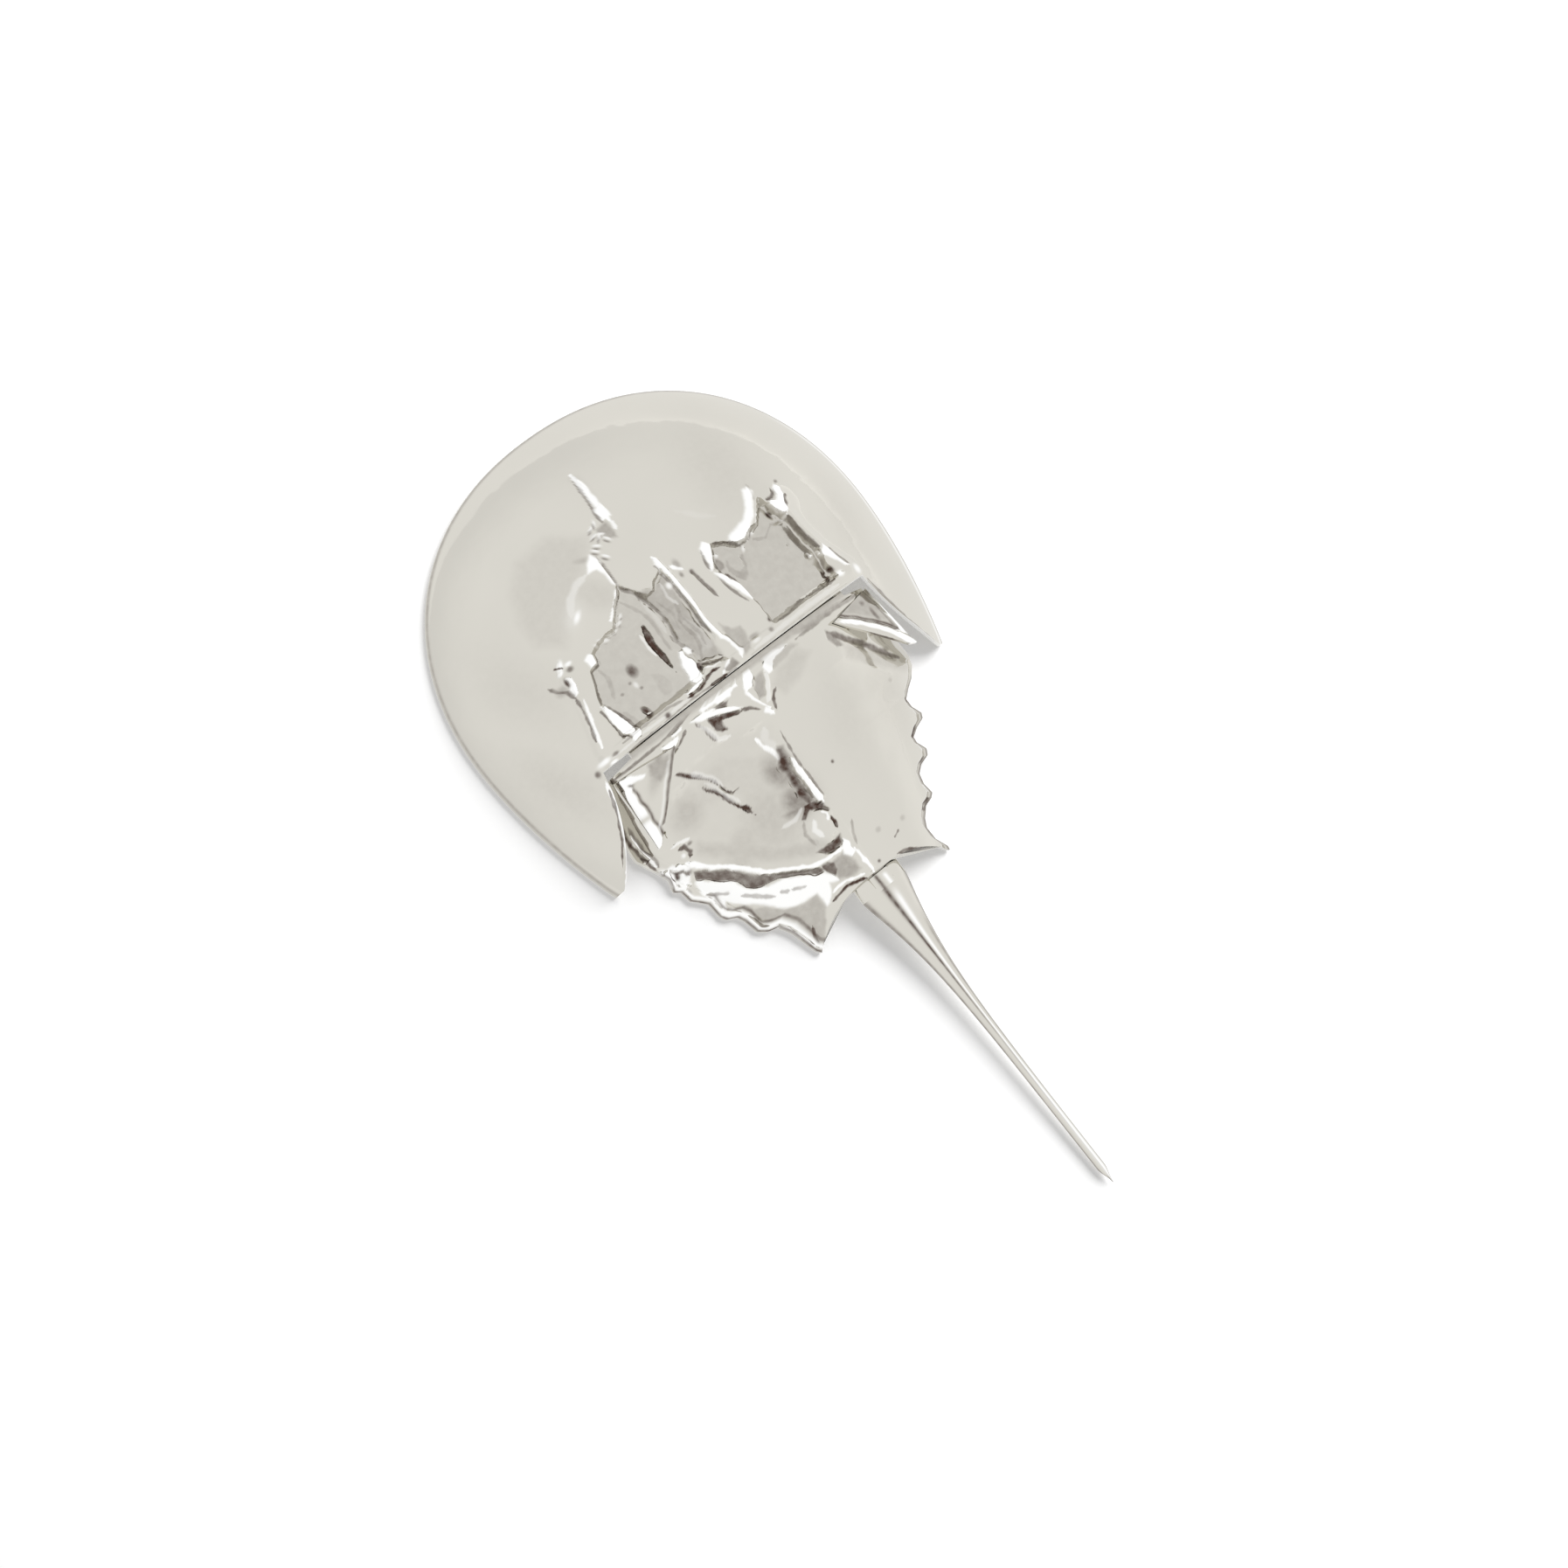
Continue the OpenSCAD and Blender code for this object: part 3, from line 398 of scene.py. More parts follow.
head.patch([(6.4, -17.4), (5.6, -14), (5.4, -11), (5.9, -8.6), (5, -4), (2.2, -2.8), (1.7, -17.6),
            (4, -16.3)], 0.75, 0, 0.34, 0.8)
head.patch([(3.6, -11), (3.2, -8), (3.8, -6), (4.6, -5), (2.4, -4.6), (1.9, -8)], 0.2, 0.1, 0, 0.6)
# front ridge with a painted highlight along it, and the crumpled knot at its end in painted highlights and
# painted shade
head.fold([(0.9, -37.4), (1.2, -35.2), (1.6, -32.6), (2.1, -29.6), (2.1, -28.3)], 0.52, 0.5, 1.0, 0, 0.3)
head.patch([(1.3, -31), (2.8, -31), (3, -28.9), (1.3, -28.7)], 0.1, 1.0, 0, 0.3)
head.fold([(1.5, -36.4), (2.1, -33.4), (3, -30.2), (3.1, -28.4)], 0.2, -0.12, 0, 0.6)
head.fold([(2, -28.2), (2.3, -26.7)], 0.3, 0.2, 0.8, 0)
head.patch([(2.6, -28.6), (4.6, -28.4), (4.6, -26.4), (3, -25.6), (2.7, -26.6)], -0.1, 0, 0.4, 0.6)
for at, lean in [((5.2, -28.9), 30), ((4.2, -29.3), 60), ((5.6, -27.8), 10), ((4.6, -27.5), -30),
                 ((5.1, -27.2), 40), ((4.3, -26.4), -60), ((6.2, -26.4), -40), ((6.9, -25.9), -50),
                 ((6.3, -24.4), -55)]:
    head.spot(at, (0.62, 0.22), 0.22, 0.75, 0, lean)
    head.spot((at[0] + 0.35, at[1] + 0.3), (0.55, 0.2), -0.12, 0, 0.65, lean)
# painted highlight on the edge of the left bump, with the beaded seam under it in painted highlights and
# painted shade
head.patch([(10.1, -23.9), (9.4, -24.7), (8.6, -25.5), (7.9, -26.1), (7.5, -25), (7.6, -23.4),
            (7.75, -22), (8, -20), (8.4, -20.6), (8.3, -22.4), (8.7, -23.6)], 0.15, 1.0, 0, 0.45)
head.fold([(7.4, -25.2), (7.4, -23.6), (7.6, -22), (7.9, -20), (7.6, -19), (6.8, -18), (6.4, -17.2),
           (6.1, -16.2), (5.6, -14), (5.4, -12.4), (5.5, -11), (5.7, -9.5), (5.9, -8.2)], 0.2, -0.3, 0,
          0.6, 0.05)
head.fold([(8, -19.9), (9, -18.9), (10.2, -17.8), (11.2, -16.9), (12, -16.5)], 0.3, 0.15, 0.95, 0, 0.2)
head.fold([(8.4, -19.2), (9.8, -17.6), (11, -16.5)], 0.16, -0.1, 0, 0.5)
for k, at in enumerate([(10.2, -16.2), (10.9, -15.5), (11.7, -15.6), (12.2, -15), (13.1, -15.1),
                        (13.9, -14.7), (14.8, -15.1), (15.6, -14.8)]):
    head.spot(at, (0.5, 0.24), 0.2, 0.5, 0, 35 - 12 * k)
    head.spot((at[0] + 0.2, at[1] + 0.42), (0.4, 0.16), -0.1, 0, 0.55 - 0.05 * k, 35 - 12 * k)
head.spot((15.2, -19.8), (1.0, 0.42), 0.06, 0.95, 0, 38, 1.2)
head.spot((15.6, -20.3), (1.9, 1.1), 0.03, 0.2, 0, 38, 1)
head.fold([(15.9, -20.1), (14.3, -22.4), (12.5, -23.5), (10.4, -23.9)], 0.5, 0.05, 0.3)
head.fold([(4.9, -14.6), (4.2, -12), (4.8, -9.4)], 0.24, -0.15, 0, 0.45)
head.fold([(2.9, -13.4), (3.5, -10.6), (2.8, -7.4), (3.2, -5.4)], 0.2, -0.12, 0, 0.45)
head.fold([(6.3, -9.6), (5.9, -7.6), (5.2, -5.8)], 0.22, -0.15, 0, 0.5)
head.fold([(10.8, -13.6), (10.2, -11.4), (10.4, -9)], 0.5, 0.1, 0, 0.12)
head.fold([(15.8, -12), (15.2, -9.6), (15.9, -6.4)], 0.5, 0.1, 0, 0.14)
head.patch([(18.3, -14.2), (17.4, -14.6), (16.7, -14.2), (16.6, -13.2), (17, -12.7), (18.1, -12.8)],
           0.3, 1.0, 0, 0.4)
head.fold([(16.5, -13.6), (16.8, -12.6), (17.6, -12.4), (18.3, -12.3), (18.8, -10.6), (19.5, -9.2),
           (19.9, -7.8)], 0.22, -0.15, 0, 0.62, 0.06)
# flow lines, slit and pits of the left field, with painted shade in the slit and pits and painted highlights
# beside them
head.fold([(8.9, -17.8), (8, -16.2), (7.4, -14.8), (7.1, -13), (7.2, -11), (7.4, -8)], 0.32, -0.15, 0,
          0.34)
head.fold([(3.4, -11.4), (4.1, -10.6), (3.9, -9), (3.6, -7.5), (4, -5.8), (4.9, -4.2), (5.4, -3.6)],
          0.26, -0.2, 0, 0.5)
head.fold([(4.8, -15.6), (4, -14), (3.4, -12.4)], 0.3, -0.1, 0, 0.3)
head.fold([(6.5, -15.8), (6.3, -13), (6.4, -10.4)], 0.3, 0.15, 0.14, 0)
head.fold([(2.9, -16.4), (3.3, -14.2), (2.7, -12.6)], 0.22, 0.12, 0.25, 0)
head.patch([(8.2, -13.3), (8.7, -13.2), (9.3, -11.8), (9.45, -9.8), (9.3, -7.9), (8.9, -6.4),
            (8.75, -4.8), (8.6, -6.6), (8.4, -8), (8.65, -10), (8.35, -12)], -0.5, 0, 1.0, 0.3)
head.fold([(9.7, -12.2), (9.85, -10.4), (9.6, -8.6)], 0.16, 0.12, 0.5, 0)
head.spot((13.6, -8.9), (0.8, 1.1), -0.45, 0, 1.0)
head.spot((13.5, -8.8), (0.5, 0.7), -0.1, 0, 1.0)
head.spot((15.4, -3.15), (0.48, 1.0), -0.4, 0, 1.0, 22)
for at in [(14, -6.2), (14.9, -7.7), (16.7, -7.1)]:
    head.spot(at, (0.32, 0.3), -0.1, 0, 0.6)
head.spot((14.4, -7), (0.3, 0.5), 0.1, 0.45)
head.fold([(17.2, -12), (16.8, -10.2), (17.5, -8.2), (17.9, -7.2)], 0.3, -0.12, 0, 0.32)
head.fold([(18, -5), (17.6, -3.4), (17.3, -2)], 0.4, -0.1, 0, 0.3)
head.patch([(12.1, -7.2), (10.6, -6.6), (10, -4.4), (10.6, -2.8), (12.4, -3)], -0.1, 0, 0.24, 0.8)
head.patch([(20.4, -7.6), (19.7, -7.7), (19.1, -6), (18.5, -4.4), (18.2, -3), (18.1, -1.4), (18.5, -0.7),
            (19.6, -0.6), (19.8, -1.1), (19.5, -1.8), (20, -2.5), (20.1, -4), (20.3, -6)], 0.4, 1.0, 0,
           0.3)
head.fold([(19.4, -7.6), (18.6, -5.4), (18, -3.4), (17.85, -1.4)], 0.16, -0.1, 0, 0.75)
head.fold([(20.7, -7), (20.3, -4.6), (20.1, -2.6), (19.6, -1.4)], 0.14, -0.1, 0, 0.7)
# folded metal between the lobe and the hinge, with painted highlights on its folds and painted shade in its
# creases
head.patch([(6.2, -6.9), (6.8, -7), (7.2, -6), (7.7, -5.3), (7.7, -4.4), (7.9, -3.4), (8.4, -2.6),
            (8.6, -1.9), (10.2, -1.6), (10.2, -1.2), (8.4, -1.2), (7.2, -1.5), (6.4, -2.2), (6.2, -3),
            (5.8, -4), (5.9, -5), (6.3, -5.4)], 0.45, 1.0, 0, 0.3)
head.fold([(5.9, -7), (5.5, -5.9)], 0.28, 0.2, 0.9)
head.fold([(5.6, -3.9), (5.8, -3.3)], 0.3, -0.2, 0, 1.0, 0)
head.fold([(5.4, -3.8), (4.6, -3), (3.5, -2.6), (2.4, -2.5)], 0.22, -0.2, 0, 0.8)
head.fold([(5.6, -3), (4.4, -2.3), (3, -2.3)], 0.15, 0.15, 0.6)
# the second middle ridge over the lobe, with a painted highlight along it and painted shade beside it
head.fold([(1.35, -20.2), (1.3, -18.2), (1.1, -16), (1.1, -13), (1.1, -11), (1.3, -9), (1.2, -7.5),
           (1, -6), (0.8, -5), (0.3, -4.2), (0, -3), (-0.2, -1.8), (0.3, -0.8)], 0.36, 0.5, 1.0, 0,
          0.03)
head.fold([(1.4, -20), (1.25, -18), (1.1, -16)], 0.48, 0.1, 1.0, 0, 0.25)
head.spot((1.55, -8.8), (0.35, 0.25), 0.15, 0.9)
head.fold([(1.95, -19), (1.7, -16), (1.6, -12), (1.75, -8), (1.5, -5.4)], 0.15, -0.12, 0, 0.6)
head.spot((2.1, -15.4), (0.4, 0.5), 0.2, 0.8)
head.patch([(-0.2, -6.8), (-0.8, -5.8), (-1.2, -5), (-2.6, -4.7), (-2.5, -2.6), (-1.6, -1.1),
            (-0.4, -0.8), (0, -3)], -0.15, 0, 0.3, 0.6)
head.fold([(0.2, -17.5), (-1.1, -16)], 0.24, 0.15, 1.0)
head.spot((-0.8, -17.3), (0.5, 0.8), -0.1, 0, 0.4)
head.spot((-0.35, -15.6), (0.3, 0.45), -0.1, 0, 0.6)
head.fold([(-1.9, -15.5), (-2.1, -14), (-2.4, -12), (-2.7, -9.9)], 0.28, -0.3, 0, 0.72)
head.spot((-1.9, -15.1), (0.35, 0.35), -0.1, 0, 0.8)
# painted highlight on the right edge of the lobe, painted shade at its crisp foot, and the facets beside it
head.patch([(-7, -16.5), (-6, -17.7), (-5.1, -17.2), (-4.75, -15.5), (-4.35, -13.5), (-5, -13.8),
            (-5.8, -14.6), (-6.5, -15.8)], 0.3, 1.0, 0, 0.4)
head.patch([(-4.45, -12.9), (-5.6, -12.3), (-6.2, -11.4), (-6.6, -10), (-6.95, -8.4), (-6.95, -6.6),
            (-6.6, -6.7), (-6.2, -7.6), (-5.7, -8.8), (-5.1, -10.4), (-4.65, -12)], 0.35, 1.0, 0, 0.3)
head.fold([(-5, -16.8), (-4.45, -15), (-4.25, -13.2)], 0.17, -0.1, 0, 0.6)
head.fold([(-6.3, -12.1), (-6.85, -10.5), (-7.15, -8), (-7.3, -6), (-7.55, -4.8), (-7.45, -3.8),
           (-7, -2.7)], 0.2, -0.2, 0, 0.85, 0.06)
head.fold([(-4.5, -12.2), (-4.9, -10), (-5.5, -8), (-6.1, -6.7)], 0.18, -0.1, 0, 0.6)
head.spot((-6.95, -2.8), (0.4, 0.4), -0.15, 0, 0.9)
head.patch([(-4.9, -13.3), (-6.6, -14.5), (-7.4, -13.8), (-7.2, -12.6), (-6, -12.8)], -0.2, 0, 0.55, 0.5)
head.patch([(-7, -13), (-8, -13.6), (-8, -11.6), (-8.6, -11), (-9.6, -11.4), (-10, -13), (-10.8, -13),
            (-10.2, -11), (-9.4, -9.8), (-8.4, -9.1), (-7.8, -9.8), (-7, -11.4)], -0.25, 0, 0.4, 0.6)
head.spot((-7, -14.9), (0.3, 0.3), 0.15, 0.6)
# a painted highlight on the curl of the dome over the right field, with painted shade along its foot
head.patch([(-18.2, -20.5), (-17.1, -20.4), (-16.3, -19.2), (-15.3, -17.9), (-14, -16.9), (-12, -16.4),
            (-10, -16.1), (-9.4, -15.3), (-10.6, -14.4), (-12, -14.2), (-13.4, -14.4), (-14.2, -15.4),
            (-15.6, -16.3), (-16.6, -17.6), (-17.4, -18.6), (-18.3, -19.4)], 0.25, 1.0, 0, 0.7)
head.fold([(-7.4, -16.6), (-9, -15.7), (-10.4, -14.5), (-11.2, -14.05), (-13.2, -14.1), (-14, -15)],
          0.17, -0.1, 0, 0.72, 0.06)
head.fold([(-17.6, -18.2), (-18.3, -19.8), (-18.4, -20.8)], 0.25, -0.05, 0, 0.25)
head.fold([(-13.4, -13.8), (-14.6, -13.1), (-15.6, -12.9), (-16.6, -13.4), (-17.6, -13.9), (-19, -13.7),
           (-20, -13.2)], 0.24, -0.2, 0, 0.38)
for at, lean in [((-14.2, -14.6), 30), ((-15.4, -15.3), 50), ((-16.2, -16.2), -30), ((-17, -16.6), 20),
                 ((-11.2, -13.4), 60)]:
    head.spot(at, (0.5, 0.25), 0.2, 0.55, 0, lean)
head.spot((-18, -10.1), (0.45, 0.4), -0.1, 0, 0.3)
# eyes: folded knobs with painted highlights on their faces and painted shade in their sockets
for side in (-1, 1):
    head.spot((side * 20.8, -15.2), (2.6, 3.2), 0.7, 0, 0, side * 12, 1.2)
head.patch([(-19, -16.5), (-19.6, -16.9), (-20.4, -16.4), (-21.2, -17.1), (-21.5, -18.1), (-22.2, -18.4),
            (-22.8, -17.6), (-22.4, -16.5), (-21.5, -15.4), (-21, -14.2), (-20.4, -13.9), (-19.6, -14.1),
            (-19.2, -15.2)], 0.45, 1.0, 0, 0.3)
head.fold([(-19, -17.2), (-20.2, -17.1), (-21, -17.6), (-21.2, -18.3)], 0.22, -0.2, 0, 0.8)
head.fold([(-22.8, -16.3), (-22, -15.9), (-21.4, -14.8)], 0.2, -0.15, 0, 0.75)
head.spot((-18.4, -15.2), (0.32, 0.75), -0.3, 0, 1.0, 10)
head.spot((-23, -18.7), (0.35, 0.28), -0.1, 0, 0.7)
head.spot((-19.9, -13.6), (0.4, 0.25), 0.2, 0.9)
head.fold([(-20.3, -13.4), (-20.4, -11.4), (-20.8, -9.6), (-21.2, -8), (-21.5, -7.1)], 0.27, -0.2, 0,
          0.6)
head.fold([(-20.6, -15), (-21.2, -11), (-22, -7), (-23.8, -2.8), (-24.6, -0.8)], 0.8, 0.55, 0, 0)
head.patch([(-20.8, -6.2), (-21.8, -6.8), (-22.2, -7.4), (-22.6, -6), (-23, -4.4), (-23.6, -3),
            (-24.1, -2.3), (-23.3, -2.5), (-22.6, -3.8), (-21.6, -5.1)], 0.25, 1.0, 0, 0.3)
head.fold([(-22.8, -6.4), (-23.4, -4.2), (-24.2, -2.4)], 0.14, -0.1, 0, 0.6)
head.spot((-20.1, -6.8), (0.4, 0.25), 0.2, 0.9)
head.spot((-19.4, -7.1), (0.35, 0.3), -0.1, 0, 0.7)
head.spot((-20.9, -3.4), (0.42, 0.6), -0.35, 0, 1.0, 30)
head.fold([(-20.9, -5.6), (-20.2, -4), (-19.6, -2.8)], 0.3, -0.15, 0, 0.42)
head.spot((-21.6, -2.1), (0.75, 0.5), 0.2, 1.0)
head.spot((21.5, -15.6), (0.42, 0.95), 0.45, 1.0, 0, -35)
head.fold([(22.3, -16), (21.3, -15.2)], 0.12, -0.2, 0, 0.9)
head.spot((22, -14.8), (0.5, 0.28), 0.25, 0.95, 0, 25)
head.spot((20.4, -15.3), (0.55, 0.32), 0.3, 0.9)
head.spot((20.6, -14.5), (0.5, 0.4), -0.2, 0, 0.8)
head.patch([(21.9, -13.9), (21.4, -13.4), (21.15, -12.4), (21.7, -11.1), (22.3, -10.9), (22.4, -12),
            (21.9, -12.7)], 0.35, 1.0, 0, 0.25)
head.spot((22.05, -13.2), (0.26, 0.7), -0.3, 0, 1.0)
head.fold([(24.3, -14.2), (23.6, -13), (22.6, -12.2), (22.4, -10.8)], 0.28, -0.2, 0, 0.7)
head.spot((23.2, -12.7), (0.9, 0.8), -0.1, 0, 0.3)
head.fold([(21, -15), (22, -10), (23, -5.6), (24.2, -1)], 0.8, 0.6, 0, 0)
head.fold([(21.6, -10), (22.2, -8), (22.7, -6), (23.2, -4.2), (23.5, -2.9)], 0.26, 0.15, 0.95, 0, 0.15)
head.fold([(22.3, -10.8), (22.6, -8.4), (23.1, -6), (23.7, -4)], 0.17, -0.15, 0, 0.7)
# the hinge bar: a cast rod with drawn grooves, crumpled folds at its ends and in the middle, with painted
# highlights and painted shade along them
on_bar = smooth(-2.4, -1.5, y) * (1 - smooth(HINGE_W - 1.5, HINGE_W, np.abs(x)))
head.height += 0.5 * on_bar
head.fold([(22, 0), (18, -0.1), (14, -0.2), (10, -0.4), (6, -0.25), (2, -0.1)], 0.12, -0.12, 0, 0.45)
head.fold([(21, -1.5), (17, -1.6), (13, -1.5), (10.4, -1)], 0.18, -0.15, 0, 0.4)
head.fold([(24, -0.7), (18, -0.9), (13, -0.7), (9, -0.8)], 0.2, 0.15, 0.3)
head.fold([(10.4, -0.85), (8, -0.85), (7, -1.15), (6, -1.65), (5, -1.85), (3.8, -1.65)], 0.2, -0.25, 0,
          1.0)
head.fold([(6.6, -0.35), (3.8, -0.2)], 0.22, -0.2, 0, 0.9)
head.fold([(4.1, -0.6), (3.2, -1.2), (2, -1.7)], 0.22, 0.25, 0.9)
head.patch([(3.5, -1), (1.5, -1.6), (1.2, -0.4), (3.2, -0.2)], -0.2, 0, 0.55, 0.4)
head.fold([(-7.5, -1.9), (-10, -1.8), (-12, -2.1), (-14, -2.4), (-17, -2), (-20, -1.8)], 0.22, -0.2, 0,
          0.6)
head.fold([(-2, -0.7), (-8, -0.9), (-14, -1), (-20, -0.9)], 0.3, 0.1, 0.25)
head.fold([(-1, -0.25), (-9, -0.3), (-16, -0.4), (-23, -0.3)], 0.11, -0.1, 0, 0.15)
for at, size, bright, dark in [((14, -0.7), (0.45, 0.4), 0, 0.9), ((-3, -1.5), (0.7, 0.3), 0.5, 0),
                               ((-3.2, -2.3), (0.9, 0.35), 0, 0.4), ((-5.9, -1.5), (0.4, 0.4), 0, 0.5),
                               ((25.9, -0.2), (0.4, 0.5), 0, 0.8), ((24.4, -1), (0.9, 0.4), 1.0, 0),
                               ((23.4, -0.2), (0.6, 0.25), 1.0, 0), ((22.6, -1), (0.5, 0.3), 0, 0.7),
                               ((-25, -1.2), (0.6, 0.8), 0.8, 0)]:
    head.spot(at, size, 0.15 if bright else -0.15, bright, dark)
# the inner edges of the horns: a painted highlight on the left, painted shade on the right
head.fold([(25.6, 1), (26.4, 5), (27.6, 9), (29.2, 12.4), (30.9, 15)], 0.26, 0.12, 1.0, 0, 0.1)
head.fold([(25.9, 2.4), (26.9, 6), (28.3, 9.4), (30, 12.4)], 0.16, -0.1, 0, 0.8)
head.fold([(-25.6, 1), (-26.4, 5), (-27.6, 9), (-29.2, 12.4), (-30.9, 15)], 0.22, 0.1, 0, 0.55, 0.1)
# the fine unevenness of cast metal, coarser in the sunken fields
head.height += (0.05 + 0.06 * sunken) * (ripple(x, y, 2.2, 3) * np.maximum(sunken, 0.15))
head.height += 0.05 * ripple(x, y, 9, 5)
head.height = np.minimum(head.height, TOP_LIMIT)
# a fine painted dark reflection line along the whole rim, with a painted highlight inside it on the right
widths = np.hypot(*(lines_out - lines_in).T)
rim_gap = to_rim * widths[:, None]
head.dark = np.maximum(head.dark, 0.42 * hump(rim_gap - 0.16, 0.2))
head.bright = np.maximum(head.bright, 0.6 * hump(rim_gap - 0.75, 0.25) * (x < 0) * smooth(-30, -20, y))

# the cut inner walls: painted shade down the left horn, painted highlight down the right one and along the
# hinge
at_hinge = np.abs(y[:, 0]) < 0.01
on_left = x[:, 0] > 0
head.dark[:, 0] = np.where(at_hinge, 0, np.where(on_left, 0.6, 0))
head.bright[:, 0] = np.where(at_hinge, 0.7, np.where(on_left, 0, 0.4))

# the hollow inside, and the flat lower rim that the crab rests on
HOLLOW_COLS, RIM_COLS = 41, 4
turned = (1 - np.minimum(RIM_FLAT, 0.45 * widths) / widths)[:, None]
under_steps = np.minimum(1, np.arange(HOLLOW_COLS + RIM_COLS) / HOLLOW_COLS)[None, :]
under_steps = turned * (1 - (1 - under_steps ** 1.2) ** 1.15)
under_steps[:, HOLLOW_COLS:] += (1 - turned) * (np.arange(RIM_COLS) / (RIM_COLS - 1))[None, :]
under_plan = lines_in[:, None, :] + (lines_out - lines_in)[:, None, :] * under_steps[..., None]
ux, uy = under_plan[..., 0], under_plan[..., 1]
under_z = np.maximum(0.25, dome(ux, uy) - plain_hollow(ux, uy) - SHELL_T)
under_z[:, HOLLOW_COLS:] = 0
head_shield = closed_shell(
    "head_shell", np.dstack([x, y, head.height]), np.dstack([ux, uy, under_z]),
    {"worn": head.bright, "tarnish": head.dark})


# the finish that all silver pieces share: warm bright metal, dark patina and painted shade in its creases,
# painted highlights on its folds
def shared_finish():
    """A node group that turns the two masks of a piece into colour, roughness and fine surface waves."""
    group = bpy.data.node_groups.new("silver_finish", "ShaderNodeTree")
    # the near-white bright colour is the painted highlight; the dark colour is laid on for patina and
    # painted shade
    for way, label, kind, start in [
            ("INPUT", "Silver", "Color", (0.68, 0.66, 0.604, 1)),
            ("INPUT", "Tarnish Colour", "Color", (0.075, 0.045, 0.035, 1)),
            ("INPUT", "Bright Colour", "Color", (1.0, 1.0, 0.99, 1)),
            ("INPUT", "Worn", "Float", 0.0), ("INPUT", "Tarnish", "Float", 0.0),
            ("INPUT", "Cloud Size", "Float", 90.0), ("INPUT", "Cloud Depth", "Float", 0.05),
            ("INPUT", "Gloss", "Float", 0.07), ("OUTPUT", "Colour", "Color", None),
            ("OUTPUT", "Roughness", "Float", None), ("OUTPUT", "Waves", "Float", None)]:
        socket = group.interface.new_socket(label, in_out=way, socket_type="NodeSocket" + kind)
        if start is not None:
            socket.default_value = start
    given, put = shader(group, "NodeGroupInput"), shader(group, "NodeGroupOutput")
    place = shader(group, "ShaderNodeTexCoord")
    # broad faint clouds in the polish
    cloud = shader(group, "ShaderNodeTexNoise", {"Detail": 3})
    shade = shader(group, "ShaderNodeMath", {2: 0.975}, operation="MULTIPLY_ADD")
    grey = shader(group, "ShaderNodeCombineColor")
    tinted = shader(group, "ShaderNodeMix", data_type="RGBA", blend_type="MULTIPLY")
    tinted.inputs["Factor"].default_value = 1
    # patina and painted shade, thin and thick in fine specks
    speck = shader(group, "ShaderNodeTexNoise", {"Scale": 900, "Detail": 4})
    patchy = shader(group, "ShaderNodeMapRange", {"From Min": 0.3, "From Max": 0.65, "To Min": 0.75,
                                                  "To Max": 1.1})
    patina_and_shade_amount = shader(group, "ShaderNodeMath", operation="MULTIPLY", use_clamp=True)
    darkened = shader(group, "ShaderNodeMix", data_type="RGBA")
    lit = shader(group, "ShaderNodeMix", data_type="RGBA")
    rough = shader(group, "ShaderNodeMath", {1: 0.16}, operation="MULTIPLY_ADD")
    wire(group, (place.outputs["Object"], cloud.inputs["Vector"]),
         (given.outputs["Cloud Size"], cloud.inputs["Scale"]),
         (cloud.outputs["Fac"], shade.inputs[0]), (given.outputs["Cloud Depth"], shade.inputs[1]),
         (shade.outputs[0], grey.inputs["Red"]), (shade.outputs[0], grey.inputs["Green"]),
         (shade.outputs[0], grey.inputs["Blue"]), (given.outputs["Silver"], tinted.inputs[6]),
         (grey.outputs[0], tinted.inputs[7]), (place.outputs["Object"], speck.inputs["Vector"]),
         (speck.outputs["Fac"], patchy.inputs["Value"]), (given.outputs["Tarnish"], patina_and_shade_amount.inputs[0]),
         (patchy.outputs["Result"], patina_and_shade_amount.inputs[1]), (patina_and_shade_amount.outputs[0], darkened.inputs["Factor"]),
         (tinted.outputs[2], darkened.inputs[6]), (given.outputs["Tarnish Colour"], darkened.inputs[7]),
         (given.outputs["Worn"], lit.inputs["Factor"]), (darkened.outputs[2], lit.inputs[6]),
         (given.outputs["Bright Colour"], lit.inputs[7]), (lit.outputs[2], put.inputs["Colour"]),
         (patina_and_shade_amount.outputs[0], rough.inputs[0]), (given.outputs["Gloss"], rough.inputs[2]),
         (rough.outputs[0], put.inputs["Roughness"]), (cloud.outputs["Fac"], put.inputs["Waves"]))
    return group


silver_finish = shared_finish()


def silver(name, masked, wave=0.0006, **values):
    """A polished silver with the shared finish. Masked pieces carry their own masks of painted highlight and
    of patina with painted shade.
    """
    material = bpy.data.materials.new(name)
    material.use_nodes = True
    tree = material.node_tree
    metal = tree.nodes["Principled BSDF"]
    metal.inputs["Metallic"].default_value = 1
    finish = shader(tree, "ShaderNodeGroup", node_tree=silver_finish)
    for label, value in values.items():
        finish.inputs[label.replace("_", " ").title()].default_value = value
    if masked:
        for label in ("worn", "tarnish"):
            mask = shader(tree, "ShaderNodeAttribute", attribute_name=label)
            wire(tree, (mask.outputs["Fac"], finish.inputs[label.title()]))
    bump = shader(tree, "ShaderNodeBump", {"Strength": 0.25, "Distance": wave})
    wire(tree, (finish.outputs["Waves"], bump.inputs["Height"]),
         (bump.outputs["Normal"], metal.inputs["Normal"]),
         (finish.outputs["Colour"], metal.inputs["Base Color"]),
         (finish.outputs["Roughness"], metal.inputs["Roughness"]))
    return material


mirror_silver = silver("mirror_silver", True)
head_shield.data.materials.append(mirror_silver)
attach(head_shield, "head")
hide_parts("head_shield")


